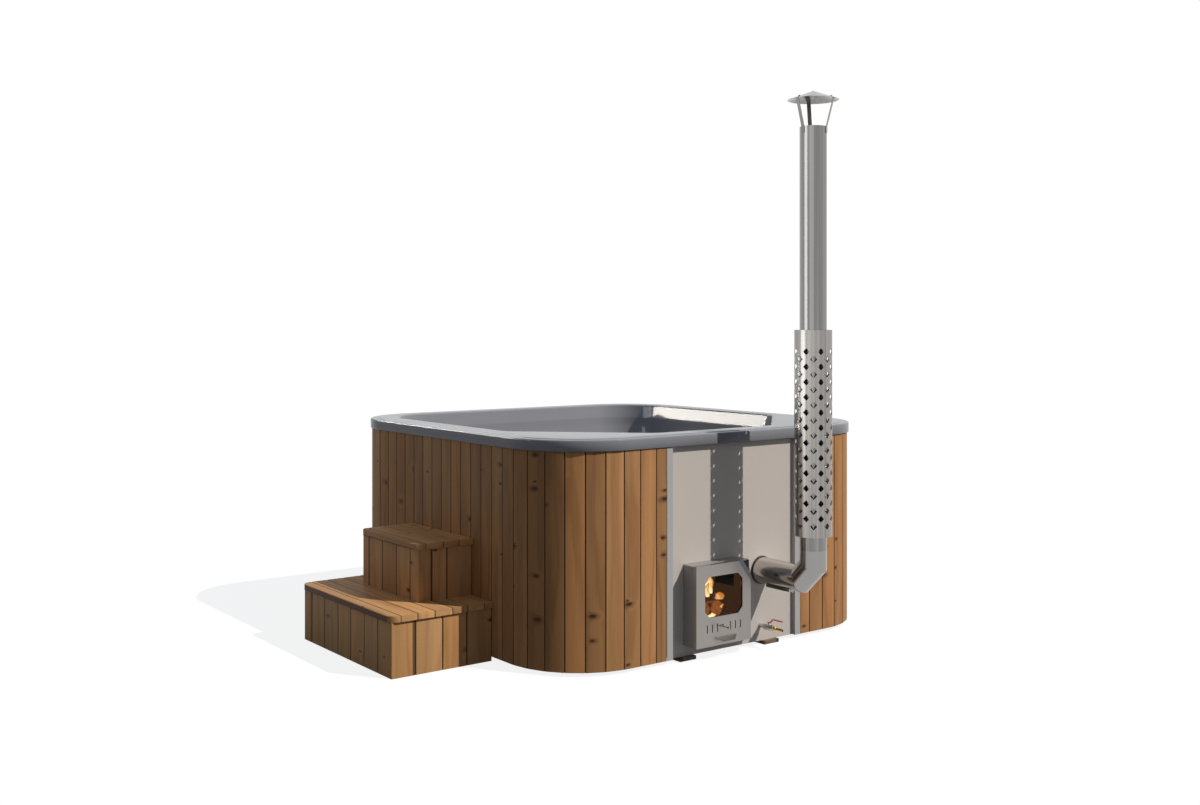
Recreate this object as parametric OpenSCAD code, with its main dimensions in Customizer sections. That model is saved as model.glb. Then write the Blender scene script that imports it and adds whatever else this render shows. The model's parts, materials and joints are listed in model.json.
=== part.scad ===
// Square timber-clad hot tub with a built-in wood stove, a chimney and two loose steps.
// Lengths are in millimetres. The origin is the tub's centre on the ground, +Z is up,
// the stove looks towards -Y and the steps stand at the -X side.

/* [Tub] */
// Width and depth of the timber cladding, outside
tub_w = 1946; // [1860:1:2200]
// Radius of the tub's corners, outside
corner_r = 368; // [320:1:420]
// Height of the rim's top over the ground
tub_top = 1000; // [960:1:1100]
// Height of the ground skids
skid_h = 17; // [12:1:24]
// Width of one ground skid
skid_w = 93; // [60:1:140]
// Distance between the centres of neighbouring skids
skid_pitch = 512; // [440:1:560]
// Sideways offset of the skids
skid_shift = -24; // [-40:1:40]
// Height of the floor joists
joist_h = 30; // [22:1:34]
// Thickness of the plywood base deck
deck_t = 9; // [6:1:12]
// Thickness of the wall studs and beams
beam_w = 45; // [35:1:50]
// Thickness of the ring battens behind the cladding
ring_t = 22; // [16:1:26]

/* [Cladding] */
// Thickness of a cladding board
board_t = 20; // [16:1:24]
// Distance from seam to seam
board_pitch = 87.8; // [70:0.1:110]
// Width of the cut board left of the steel panel
edge_left_w = 60; // [45:1:80]
// Width of the cut board right of the steel panel
edge_right_w = 65; // [45:1:80]
// Depth of the groove at each seam
board_groove = 3; // [1:0.5:5]
// How far the boards reach up behind the rim's skirt
clad_tuck = 20; // [10:1:28]

/* [Shell] */
// Height of the rim's outer face
rim_h = 52; // [40:1:70]
// How far the rim stands proud of the cladding
rim_over = 7; // [6.5:0.5:14]
// Width of the rim from its outer edge to the basin
rim_w = 142; // [130:1:170]
// Radius of the rim's outer top edge
rim_round = 16; // [8:1:24]
// Thickness of the acrylic shell
shell_t = 6; // [4:0.5:6.5]
// Distance of the rim's raised deck from the outer edge
bead_inset = 38; // [30:1:60]
// Height of the rim's raised deck over its outer band
bead_step = 3; // [1:0.5:4]
// Length cut off each front corner of the basin
front_cut = 480; // [380:1:520]
// Length cut off each back corner of the basin
back_cut = 340; // [260:1:440]
// Height of the bench over the ground
seat_z = 560; // [540:1:600]
// Height of the foot well's floor over the ground
floor_z = 130; // [124:1:140]
// Width of the foot well
well_w = 960; // [860:1:1020]
// Distance from the centre to the foot well's stove-side wall
well_front = 400; // [380:1:430]
// Distance from the centre to the foot well's far wall
well_back = 560; // [500:1:620]
// Radius of the foot well's corners
well_r = 120; // [80:1:160]

/* [Steel panel] */
// Sideways offset of the steel panel
panel_x = 8; // [-10:1:20]
// Width of the panel with its trims
panel_w = 820; // [800:1:860]
// Depth of the panel behind the cladding's face
panel_recess = 20; // [12:1:26]
// Thickness of the panel sheet and trims
sheet_t = 2; // [1:0.1:3]
// Width of a trim's face
trim_w = 33; // [26:1:40]

/* [Stove] */
// Sideways place of the stove's middle
stove_x = -131; // [-150:1:-120]
// Width of the stove door
stove_w = 326; // [300:1:340]
// Height of the stove door
stove_h = 359; // [340:1:380]
// Height of the door's lower edge over the ground
stove_z = 65; // [60:1:75]
// How far the stove's neck stands out of the panel
neck_len = 67; // [50:1:90]
// How far the neck is set in from the door's edges
neck_inset = 2; // [1:0.5:4]
// Depth of the firebox behind the panel
firebox_depth = 390; // [340:1:400]
// Thickness of the firebox plates
plate_t = 4; // [3:0.5:5]
// Thickness of the closed door
door_t = 22; // [20:0.5:26]
// Thickness of the door's sheet
door_sheet = 3; // [2:0.5:4]
// Width of the door's window
window_w = 224; // [180:1:236]
// Height of the door's window
window_h = 180; // [150:1:184]
// Distance from the door's lower edge to the window
window_up = 127; // [124:1:140]
// Length cut off each corner of the window
window_cut = 27; // [10:1:40]
// Thickness of the door's glass
glass_t = 4; // [3:0.5:5]
// Width of an air slot in the door
slot_w = 5; // [3:0.5:8]
// Height of an air slot in the door
slot_h = 36; // [24:1:40]
// Distance from the door's lower edge to the air slots
slot_up = 60; // [50:1:70]
// Distance from air slot to air slot
slot_pitch = 30; // [26:1:32]
// Distance from the door's middle to the nearest air slot
slot_first = 39; // [37:1:44]
// Travel of the air slide
air_travel = 15; // [12:1:17]
// Length of the air slide's knob in front of the door
knob_len = 48; // [30:1:60]
// Width of the handle where it leaves the door
handle_w = 143; // [100:1:180]
// Width of the handle's free edge
handle_lip_w = 70; // [50:1:100]
// How far the handle stands out of the door
handle_out = 27; // [20:1:34]
// How far the handle slopes down
handle_drop = 16; // [10:1:22]

/* [Flue] */
// Outer diameter of the flue
flue_d = 120; // [110:1:130]
// Thickness of the flue's sheet
flue_t = 2; // [1:0.5:3]
// Sideways place of the flue
flue_x = 183; // [176:1:190]
// Height of the horizontal flue's axis
flue_z = 345; // [335:1:352]
// Distance from the panel to the chimney's axis
flue_out = 329; // [300:1:380]
// Leg of the elbow's slanted piece
elbow_leg = 70; // [62:1:80]
// Height of the chimney's top over the ground
chimney_top = 2359; // [2100:1:2700]
// Height of the joint between the two chimney pipes
chimney_joint = 1400; // [1250:1:1440]
// Outer diameter of the heat guard
guard_d = 167; // [160:1:190]
// Height of the heat guard's lower edge
guard_z = 548; // [530:1:580]
// Height of the heat guard's upper edge
guard_top = 1459; // [1450:1:1520]
// Height between neighbouring rows of guard holes
guard_row = 33.3; // [30:0.1:36]
// Number of rows of guard holes
guard_rows = 24; // [20:1:24]
// Number of columns of guard holes, two to a row's hole
guard_columns = 16; // [12:2:16]
// Side of a guard hole
guard_hole = 22; // [14:1:23]
// Outer diameter of the rain cap
cap_d = 227; // [200:1:260]
// Height from the pipe's top to the cap's edge
cap_gap = 120; // [90:1:140]
// Height of the cap's cone
cap_rise = 41; // [30:1:60]

/* [Drain] */
// Sideways place of the drain valve
drain_x = 176; // [170:1:182]
// Height of the drain valve's axis
drain_z = 90; // [84:1:96]
// Outer radius of the drain pipe
drain_r = 10; // [8:0.5:11]
// Radius of the drain's bore
drain_bore = 6; // [4:0.5:6.5]
// Distance from the panel to the valve body
nipple_len = 33; // [24:1:44]
// Length of the valve body
valve_len = 58; // [52:1:66]
// Length of the outlet tail
tail_len = 54; // [40:1:64]
// Length of the valve's lever
lever_len = 84; // [60:1:100]

/* [Steps] */
// Depth of the lower step's box
low_depth = 495; // [440:1:540]
// Width of the lower step's box
low_w = 866; // [760:1:960]
// Height of the lower step's top
low_h = 263; // [220:1:300]
// Depth of the upper step's box
high_depth = 276; // [240:1:300]
// Width of the upper step's box
high_w = 529; // [460:1:600]
// Height of the upper step's top
high_h = 520; // [480:1:560]
// Sideways place of the steps' middle along the tub
step_y = -21; // [-40:1:40]
// Thickness of a tread board
tread_t = 27; // [22:1:34]
// Overhang of the treads
tread_over = 11; // [5:1:20]
// Radius of the treads' outer corners
tread_r = 44; // [20:1:60]
// Gap between the steps and the tub
step_gap = 0.3; // [0.1:0.1:3]

/* [Hidden] */
$fn = 64;

// Clearances shared by all pieces
overrun = 5;
seam_gap = 0.6;
fit_gap = 0.2;
run_gap = 0.05;
move_gap = 0.4;

// Colours as the photograph shows them
timber = [0.62, 0.43, 0.28];
timber_dark = [0.45, 0.31, 0.21];
raw_timber = [0.76, 0.62, 0.44];
acrylic = [0.45, 0.46, 0.49];
steel = [0.71, 0.70, 0.69];
dark_steel = [0.30, 0.30, 0.31];
soot = [0.14, 0.12, 0.11];
brass_tone = [0.72, 0.58, 0.32];
lever_red = [0.62, 0.08, 0.10];
clear_glass = [0.75, 0.80, 0.82, 0.35];

// Tub outline
half = tub_w / 2;
corner_at = half - corner_r;
rim_low = tub_top - rim_h;
clad_top = rim_low + clad_tuck;
rim_half = half + rim_over;
joist_z = skid_h;
deck_z = joist_z + joist_h;
base_top = deck_z + deck_t;
panel_left = panel_x - panel_w / 2;
panel_right = panel_x + panel_w / 2;
panel_y = -half + panel_recess;

// Base frame
joist_w = 70;
joist_count = 5;
skid_count = 4;
skid_shares = [0.72, 0.96, 0.96, 0.72];
joist_shares = [0.70, 0.95, 0.95, 0.95, 0.70];
joist_spread = 1560;
edge_clear = 3;
bearer_w = 60;
bearer_shares = [-0.25, 0.75];
lower_ring_h = 70;
lower_ring_lift = 8;
middle_ring_z = 500;
middle_ring_h = 60;
upper_ring_h = 94;
ring_sag = corner_r * (1 - cos(board_pitch / corner_r * 90 / PI));
frame_half = half - board_t;
ring_in = frame_half - ring_t;
stud_shares = [-0.45, 0, 0.45];

// Basin outline
open_half = rim_half - rim_w;
shelf_low = seat_z - shell_t;
grow_share = 2 - sqrt(2);
lap = 10;

// Stove places
neck_half = stove_w / 2 - neck_inset;
neck_z = stove_z + neck_inset;
neck_h = stove_h - 2 * neck_inset;
neck_y = panel_y - neck_len;
firebox_back = panel_y + firebox_depth;
door_back = neck_y - move_gap;
door_front = door_back - door_t;
mouth_rim = 30;
mouth_half = neck_half - mouth_rim;
mouth_z = neck_z + mouth_rim / 2;
mouth_top = neck_z + neck_h - mouth_rim;
grate_up = 103;
grate_z = neck_z + grate_up;
grate_t = 10;
grate_bar = 12;
grate_count = 10;
foot_w = 40;
foot_inset = 20;
ledge_w = 14;
ledge_t = 6;
side_clear = 1;
grate_inset = 20;
hole_clear = 1;

// Water jacket
jacket_gap = 0.5;
jacket_w = 40;
jacket_wall = 3;
jacket_front = 23;
jacket_top = neck_z + neck_h + jacket_w;
jacket_back = firebox_back + jacket_w;
heater_r = 24;
heater_wall = 3;
heater_low = 190;
heater_high = 425;
heater_apart = 90;
grille_r = 44;
grille_t = 8;
grille_slot = 6;
grille_rows = 5;

// Smoke box beside the firebox
smoke_half = 64;
smoke_wall = 3;
smoke_front = 14;
smoke_depth = 136;

// Ash pan
pan_w = 244;
pan_h = 66;
pan_wall = 3;
pan_setback = 40;
pan_depth = 340;

// Firewood
log_r = 36;
log_len = 230;
log_back = 196;
log_side = 45;
log_gap = 4;
log_seat = 0.2;

// Door pieces
gasket_w = 12;
gasket_gap = 0.4;
gasket_inset = 9;
liner_t = 2;
liner_inset = door_sheet + 1;
liner_y = door_front + door_sheet + glass_t + 2 * fit_gap;
glass_lap = 10;
window_z = stove_z + window_up;
slot_z = stove_z + slot_up;
slide_t = 2;
slide_rim = 8;
slide_h = slot_h + 2 * slide_rim;
slide_end = 11;
slide_w = 2 * (slot_first + 2 * slot_pitch + slide_end);
knob_r = 3;
knob_head_r = 5;
knob_head = 10;
knob_shift = -21;
knob_up = 7;
knob_play = 1;
knob_z = slot_z + slot_h / 2 + knob_up;
screw_r = 2.5;
screw_head = 4.5;
screw_head_t = 2.5;
screw_inset = 31;
screw_spots = [for (x = [-1, 1], z = [stove_z + screw_inset, stove_z + stove_h - screw_inset])
    [x * (stove_w / 2 - screw_inset), z]];
handle_up = 37;
handle_t = 3;
handle_shift = 8;
handle_x = stove_x + handle_shift;

// Hinge of the door, at its right edge
pin_r = 2.5;
knuckle_r = 5;
knuckle_h = 18;
knuckle_gap = 0.4;
hinge_out = 7;
hinge_x = stove_x + stove_w / 2 + hinge_out;
hinge_y = door_back;
hinge_up_shares = [0.14, 0.72];
leaf_t = 2;
leaf_reach = 16;
pin_head_r = 4;
pin_head = 2;

// Flue places
flue_r = flue_d / 2;
flue_y = panel_y - flue_out;
elbow_rise = 70;
elbow_top = flue_z + elbow_leg + elbow_rise;
collar_w = 4;
collar_r = flue_r + collar_w;
collar_t = 6;
guard_r = guard_d / 2;
guard_t = 1.5;
guard_first = 1364;
hole_turn = 45;
spacer_w = 18;
spacer_t = 2;
spacer_count = 3;
spacer_inset = 40;
sleeve_len = 45;
sleeve_gap = 0.3;
slant = 45;
mitre = slant / 2;
wide = 3 * flue_d;
cover_w = 70;
cover_len = 147;
cover_t = 4;
cover_wrap = 12;
cover_from = 68;
knob_screw_r = 4;
knob_screw_h = 9;
knob_screw_inset = 14;

// Rain cap places
cap_r = cap_d / 2;
cap_t = 1.5;
cap_low = chimney_top + cap_gap;
strap_w = 18;
strap_t = 2;
strap_r = 92;
strap_hold = 30;
strap_count = 3;
strap_turn = 56;
rivet_r = 3;
rivet_head = 5;
rivet_head_t = 1.5;

// Drain places
drain_in = 90;
drain_y = -well_front + drain_in;
drain_dish = 36;
drain_lip = 5;
drain_end = 12;
body_r = 15;
body_waist = 1;
hex_len = 15;
ball_r = 10;
bonnet_r = 7;
bonnet_top = 19;
stem_r = 3;
nipple_y = panel_y - nipple_len;
stem_y = nipple_y - valve_len / 2;
valve_end = nipple_y - valve_len;
lever_w = 13;
lever_t = 3;
lever_gap = 1.5;
lever_z = drain_z + bonnet_top + lever_gap;
lever_rise = 18;
lever_foot = 8;
lever_ramp = 14;
nut_r = 5.5;
nut_h = 4;
tail_r = 7.5;
tail_hex = 12;
tail_hex_r = 12.5;

// Step places
step_x = -half - step_gap;
low_box_h = low_h - tread_t;
high_box_h = high_h - tread_t;
step_side_t = 20;
post_w = 45;
rail_h = 60;
low_front_shares = [0, 0.144, 0.289, 0.438, 0.585, 0.745, 0.903, 1];
low_flank_shares = [0, 0.230, 0.497, 0.739, 1];
high_front_shares = [0, 0.137, 0.373, 0.634, 0.882, 1];
high_flank_shares = [0, 0.257, 0.525, 1];
low_tread_shares = [0, 0.099, 0.257, 0.421, 0.593, 0.743, 0.911, 1];
high_tread_shares = [0, 0.150, 0.460, 0.740, 1];

// Points along the cladding's outer face, from the panel's left edge all round to its right edge
arc_len = corner_r * PI / 2;
run_ends = [corner_at + panel_left,
    corner_at + panel_left + arc_len,
    3 * corner_at + panel_left + arc_len,
    3 * corner_at + panel_left + 2 * arc_len,
    5 * corner_at + panel_left + 2 * arc_len,
    5 * corner_at + panel_left + 3 * arc_len,
    7 * corner_at + panel_left + 3 * arc_len,
    7 * corner_at + panel_left + 4 * arc_len,
    8 * corner_at + panel_left - panel_right + 4 * arc_len];
run_total = run_ends[8];
run_boards = run_total - edge_left_w - edge_right_w;
full_boards = floor(run_boards / board_pitch) - 1;
left_boards = floor(full_boards / 2);
closing_w = (run_boards - full_boards * board_pitch) / 2;
last_seam = full_boards + 3;

function seam(i) = i <= 0 ? 0 : i > last_seam ? run_total
    : i <= left_boards + 1 ? edge_left_w + (i - 1) * board_pitch
    : i == left_boards + 2 ? edge_left_w + left_boards * board_pitch + closing_w
    : run_total - edge_right_w - (last_seam - i) * board_pitch;
function arc_at(centre, angle, d) = centre + (corner_r - d) * [cos(angle), sin(angle)];
function turn(s, i) = (s - run_ends[i]) / arc_len * 90;
function on_run(s, d) =
    s < run_ends[0] ? [panel_left - s, -half + d]
    : s < run_ends[1] ? arc_at([-corner_at, -corner_at], 270 - turn(s, 0), d)
    : s < run_ends[2] ? [-half + d, -corner_at + s - run_ends[1]]
    : s < run_ends[3] ? arc_at([-corner_at, corner_at], 180 - turn(s, 2), d)
    : s < run_ends[4] ? [-corner_at + s - run_ends[3], half - d]
    : s < run_ends[5] ? arc_at([corner_at, corner_at], 90 - turn(s, 4), d)
    : s < run_ends[6] ? [half - d, corner_at - (s - run_ends[5])]
    : s < run_ends[7] ? arc_at([corner_at, -corner_at], -turn(s, 6), d)
    : [corner_at - (s - run_ends[7]), -half + d];

function inside(d) = [for (i = [1 : last_seam]) on_run(seam(i), d)];

// General shapes
module block(size, at) {
    translate(at) cube(size);
}

module rod_y(r, length, at) {
    translate(at) rotate([90, 0, 0]) cylinder(h = length, r = r);
}

module rod_z(r, height, at) {
    translate(at) cylinder(h = height, r = r);
}

module round_square(size_half, centre_half, r) {
    square([2 * size_half, 2 * centre_half], center = true);
    square([2 * centre_half, 2 * size_half], center = true);
    for (x = [-1, 1], y = [-1, 1]) translate([x * centre_half, y * centre_half]) circle(r = r);
}

module round_rect(from, to, r) {
    translate([from[0] + r, from[1]]) square([to[0] - from[0] - 2 * r, to[1] - from[1]]);
    translate([from[0], from[1] + r]) square([to[0] - from[0], to[1] - from[1] - 2 * r]);
    for (x = [from[0] + r, to[0] - r], y = [from[1] + r, to[1] - r]) translate([x, y]) circle(r = r);
}

// Base and hidden timber frame
module ground_skids() {
    color(timber_dark) {
        for (i = [0 : skid_count - 1]) {
            x = skid_shift + (i - (skid_count - 1) / 2) * skid_pitch;
            long = half * skid_shares[i];
            block([skid_w, 2 * long + (i == 1 || i == 2 ? half - long : 0), skid_h],
                [x - skid_w / 2, i == 1 || i == 2 ? -half : -long, 0]);
        }
        block([skid_pitch - skid_w, skid_w, skid_h],
            [skid_shift - (skid_pitch - skid_w) / 2, -skid_w / 2, 0]);
    }
}

module floor_joists() {
    color(raw_timber) for (i = [0 : joist_count - 1]) {
        y = (i / (joist_count - 1) - 1 / 2) * joist_spread;
        reach = frame_half * joist_shares[i];
        block([2 * reach, joist_w, joist_h], [-reach, y - joist_w / 2, joist_z]);
    }
}

module base_deck() {
    color(raw_timber) translate([0, 0, deck_z]) linear_extrude(deck_t) difference() {
        polygon(inside(board_t + edge_clear));
        translate([panel_x, -half]) square([panel_w, 2 * (panel_recess + edge_clear)], center = true);
    }
}

module stud(x, y) {
    block([beam_w, beam_w, tub_top - shell_t - base_top], [x - beam_w / 2, y - beam_w / 2, base_top]);
}

module wall_studs() {
    at = ring_in - beam_w / 2;
    color(raw_timber) {
        for (s = stud_shares) {
            stud(-at, s * 2 * corner_at);
            stud(at, s * 2 * corner_at);
            stud(s * 2 * corner_at, at);
        }
        for (x = [panel_left + beam_w / 2, panel_right - beam_w / 2])
            block([beam_w, beam_w, clad_top - base_top],
                [x - beam_w / 2, panel_y + sheet_t, base_top]);
    }
}

module ring(z, h) {
    color(raw_timber) translate([0, 0, z]) linear_extrude(h) difference() {
        polygon(inside(board_t));
        round_square(ring_in, corner_at, corner_r - board_t - ring_sag - ring_t);
        translate([panel_left, -half - overrun]) square([panel_w, half]);
    }
}

module lower_ring() {
    ring(base_top + lower_ring_lift, lower_ring_h);
}

module middle_ring() {
    ring(middle_ring_z, middle_ring_h);
}

module upper_ring() {
    ring(tub_top - bead_step - shell_t - upper_ring_h, upper_ring_h);
}

module shell_bearers() {
    color(raw_timber) for (s = bearer_shares) {
        y = well_front * s;
        block([well_w - 2 * well_r, bearer_w, floor_z - shell_t - base_top],
            [-well_w / 2 + well_r, y - bearer_w / 2, base_top]);
    }
}

// Acrylic shell: swept rim, deck, basin wall, bench and foot well
module rim_section(top, r_out, r_in) {
    difference() {
        union() {
            translate([r_out - shell_t, rim_low]) square([shell_t, top - rim_round - rim_low]);
            translate([r_in, top - shell_t]) square([r_out - rim_round - r_in, shell_t]);
            intersection() {
                translate([r_out - rim_round, top - rim_round]) circle(r = rim_round);
                translate([r_out - rim_round, top - rim_round]) square(rim_round);
            }
        }
        translate([r_out - rim_round, top - rim_round]) circle(r = rim_round - shell_t);
    }
}

module rim_sweep(top, r_out, r_in) {
    for (i = [0 : 3]) rotate([0, 0, 90 * i]) {
        translate([corner_at, corner_at, 0]) rotate_extrude(angle = 90) rim_section(top, r_out, r_in);
        translate([corner_at, corner_at, 0]) rotate([90, 0, 0]) linear_extrude(2 * corner_at)
            rim_section(top, r_out, r_in);
    }
}

module basin_outline(grow) {
    h = open_half + grow;
    f = front_cut + grow * grow_share;
    b = back_cut + grow * grow_share;
    polygon([[-h + f, -h], [h - f, -h], [h, -h + f], [h, h - b],
        [h - b, h], [-h + b, h], [-h, h - b], [-h, -h + f]]);
}

module well_outline(grow) {
    round_rect([-well_w / 2 - grow, -well_front - grow], [well_w / 2 + grow, well_back + grow],
        well_r + grow);
}

module shell_rim() {
    color(acrylic) union() {
        rim_sweep(tub_top - bead_step, corner_r + rim_over, corner_r + rim_over - bead_inset - lap);
        translate([0, 0, tub_top - shell_t]) linear_extrude(shell_t) difference() {
            round_square(rim_half - bead_inset, corner_at, corner_r + rim_over - bead_inset);
            basin_outline(0);
        }
    }
}

module shell_wall() {
    color(acrylic) translate([0, 0, shelf_low])
        linear_extrude(tub_top - shelf_low - shell_t) difference() {
            basin_outline(shell_t);
            basin_outline(0);
        }
}

module shell_bench() {
    color(acrylic) translate([0, 0, shelf_low]) linear_extrude(shell_t) difference() {
        basin_outline(0);
        well_outline(0);
    }
}

module shell_well() {
    color(acrylic) difference() {
        translate([0, 0, floor_z - shell_t]) linear_extrude(shelf_low - floor_z + shell_t)
            well_outline(shell_t);
        translate([0, 0, floor_z]) linear_extrude(shelf_low - floor_z + overrun) well_outline(0);
        rod_z(drain_dish / 2 + fit_gap, shell_t + 2 * overrun,
            [drain_x, drain_y, floor_z - shell_t - overrun]);
        for (z = [heater_low, heater_high])
            rod_y(heater_r + fit_gap, shell_t + 2 * overrun,
                [stove_x + heater_apart, -well_front + overrun, z]);
    }
}

// Cladding boards, flat staves with a groove at each seam
module stave(i) {
    from = seam(i) + seam_gap / 2;
    to = seam(i + 1) - seam_gap / 2;
    linear_extrude(clad_top - skid_h) polygon([on_run(from, board_groove),
        on_run(from + board_groove, 0), on_run(to - board_groove, 0), on_run(to, board_groove),
        on_run(to, board_t), on_run(from, board_t)]);
}

module cladding(low, high) {
    color(timber) translate([0, 0, skid_h]) for (i = [0 : last_seam]) {
        middle = (seam(i) + seam(i + 1)) / 2;
        if (middle >= low && middle < high) stave(i);
    }
}

module cladding_left() {
    cladding(0, run_ends[3]);
}

module cladding_back() {
    cladding(run_ends[3], run_ends[4]);
}

module cladding_right() {
    cladding(run_ends[4], run_total);
}

// Steel panel with its side trims
module steel_panel() {
    color(steel) difference() {
        block([panel_w - 2 * trim_w + 2 * lap, sheet_t, clad_top - skid_h],
            [panel_left + trim_w - lap, panel_y, skid_h]);
        block([2 * (neck_half + hole_clear), sheet_t + 2 * overrun, neck_h + 2 * hole_clear],
            [stove_x - neck_half - hole_clear, panel_y - overrun, neck_z - hole_clear]);
        rod_y(flue_r + fit_gap, sheet_t + 2 * overrun, [flue_x, panel_y + sheet_t + overrun, flue_z]);
        rod_y(drain_r + fit_gap, sheet_t + 2 * overrun, [drain_x, panel_y + sheet_t + overrun, drain_z]);
    }
}

module trim(side) {
    edge = side < 0 ? panel_left : panel_right;
    tall = clad_top - skid_h;
    block([trim_w, sheet_t, tall], [side < 0 ? edge : edge - trim_w, -half, skid_h]);
    block([sheet_t, panel_recess - fit_gap, tall],
        [side < 0 ? edge + trim_w - sheet_t : edge - trim_w, -half, skid_h]);
}

module panel_trims() {
    color(steel) {
        trim(-1);
        trim(1);
    }
}

// Firebox with its neck, front frame and grate ledges
module feet(left, right, front, back) {
    for (x = [left, right - foot_w], y = [front, back - foot_w])
        block([foot_w, foot_w, neck_z - base_top], [x, y, base_top]);
}

module stove_body() {
    inner = neck_half - plate_t;
    color(soot) {
        difference() {
            block([2 * neck_half, firebox_back - neck_y, neck_h], [stove_x - neck_half, neck_y, neck_z]);
            block([2 * inner, firebox_back - neck_y - 2 * plate_t, neck_h - 2 * plate_t],
                [stove_x - inner, neck_y + plate_t, neck_z + plate_t]);
            block([2 * mouth_half, plate_t + 2 * overrun, mouth_top - mouth_z],
                [stove_x - mouth_half, neck_y - overrun, mouth_z]);
            block([plate_t + 2 * overrun, smoke_depth - 2 * smoke_wall, 2 * (smoke_half - smoke_wall)],
                [stove_x + inner - overrun, panel_y + smoke_front + smoke_wall,
                flue_z - smoke_half + smoke_wall]);
        }
        for (x = [stove_x - inner, stove_x + inner - ledge_w])
            block([ledge_w, firebox_back - neck_y - 2 * plate_t, ledge_t],
                [x, neck_y + plate_t, grate_z - ledge_t]);
        feet(stove_x - neck_half + foot_inset, stove_x + neck_half - foot_inset,
            panel_y + foot_inset, firebox_back - foot_inset);
    }
}

module jacket_shape(inset) {
    difference() {
        block([2 * (neck_half + jacket_gap + jacket_w - inset),
            jacket_back - panel_y - jacket_front - 2 * inset, jacket_top - neck_z - 2 * inset],
            [stove_x - neck_half - jacket_gap - jacket_w + inset, panel_y + jacket_front + inset,
            neck_z + inset]);
        block([2 * (neck_half + jacket_gap + inset), firebox_back + jacket_gap - panel_y + inset,
            neck_h + jacket_gap + inset + overrun],
            [stove_x - neck_half - jacket_gap - inset, panel_y, neck_z - overrun]);
    }
}

module water_jacket() {
    color(dark_steel) feet(stove_x - neck_half - jacket_gap - jacket_w, stove_x + neck_half + jacket_gap
        + jacket_w, panel_y + jacket_front, jacket_back);
    color(dark_steel) difference() {
        jacket_shape(0);
        difference() {
            jacket_shape(jacket_wall);
            block([jacket_w + 2 * overrun, smoke_depth + 2 * (fit_gap + jacket_wall),
                2 * (smoke_half + fit_gap + jacket_wall)],
                [stove_x + neck_half, panel_y + smoke_front - fit_gap - jacket_wall,
                flue_z - smoke_half - fit_gap - jacket_wall]);
        }
        block([jacket_w + 2 * overrun, smoke_depth + 2 * fit_gap, 2 * (smoke_half + fit_gap)],
            [stove_x + neck_half, panel_y + smoke_front - fit_gap, flue_z - smoke_half - fit_gap]);
        for (z = [heater_low, heater_high])
            rod_y(heater_r - heater_wall, jacket_wall + 2 * overrun,
                [stove_x + heater_apart, jacket_back + overrun, z]);
    }
}

module smoke_box() {
    left = stove_x + neck_half + fit_gap;
    right = flue_x + smoke_half;
    color(dark_steel) difference() {
        block([right - left, smoke_depth, 2 * smoke_half],
            [left, panel_y + smoke_front, flue_z - smoke_half]);
        block([right - left - smoke_wall + overrun, smoke_depth - 2 * smoke_wall,
            2 * (smoke_half - smoke_wall)],
            [left - overrun, panel_y + smoke_front + smoke_wall, flue_z - smoke_half + smoke_wall]);
        rod_y(flue_r + fit_gap, smoke_wall + 2 * overrun,
            [flue_x, panel_y + smoke_front + smoke_wall + overrun, flue_z]);
    }
}

module fire_grate() {
    wide_in = 2 * (neck_half - plate_t - side_clear);
    deep = firebox_back - neck_y - 2 * (plate_t + grate_inset);
    gap = (wide_in - grate_count * grate_bar) / (grate_count - 1);
    color(soot) translate([stove_x - wide_in / 2, neck_y + plate_t + grate_inset, grate_z]) {
        for (i = [0 : grate_count - 1])
            block([grate_bar, deep, grate_t], [i * (grate_bar + gap), 0, 0]);
        for (y = [0, deep - grate_bar]) block([wide_in, grate_bar, grate_t], [0, y, 0]);
    }
}

module ash_pan() {
    at = [stove_x - pan_w / 2, neck_y + pan_setback, neck_z + plate_t];
    color(dark_steel) difference() {
        block([pan_w, pan_depth, pan_h], at);
        block([pan_w - 2 * pan_wall, pan_depth - 2 * pan_wall, pan_h], at + pan_wall * [1, 1, 1]);
    }
}

module firewood() {
    z = grate_z + grate_t + log_seat;
    y = firebox_back - plate_t - log_back;
    first_x = stove_x - neck_half + plate_t + log_side + log_r;
    apart = 2 * log_r + log_gap;
    color(timber_dark) {
        for (i = [0, 1]) translate([first_x + i * apart, y, z + log_r])
            rotate([90, 0, 0]) cylinder(h = log_len, r = log_r);
        translate([first_x + apart / 2, y - log_gap,
            z + log_r + sqrt(pow(2 * log_r + log_seat, 2) - pow(apart / 2, 2))])
            rotate([90, 0, 0]) cylinder(h = log_len - 2 * log_gap, r = log_r);
    }
}

// Door: casing, liner, glass, gasket, handle and air slide
module window_shape(grow, z0) {
    w = window_w / 2 + grow;
    h = window_h + 2 * grow;
    c = window_cut;
    polygon([[-w + c, z0 - grow], [w - c, z0 - grow], [w, z0 - grow + c], [w, z0 - grow + h - c],
        [w - c, z0 - grow + h], [-w + c, z0 - grow + h], [-w, z0 - grow + h - c], [-w, z0 - grow + c]]);
}

module upright(thick, at_y) {
    translate([stove_x, at_y + thick, 0]) rotate([90, 0, 0]) linear_extrude(thick) children();
}

module slot_row(z, w, h) {
    for (s = [-1, 1], i = [0 : 2])
        translate([s * (slot_first + i * slot_pitch) - w / 2, z]) square([w, h]);
}

module door_gasket() {
    outer = neck_half - gasket_inset;
    low = neck_z + gasket_inset / 2;
    high = neck_z + neck_h - gasket_inset;
    thick = neck_y - liner_y - liner_t - gasket_gap;
    color(soot) upright(thick, neck_y - thick) difference() {
        translate([-outer, low]) square([2 * outer, high - low]);
        translate([-outer + gasket_w, low + gasket_w / 2])
            square([2 * (outer - gasket_w), high - low - 3 / 2 * gasket_w]);
    }
}

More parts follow.
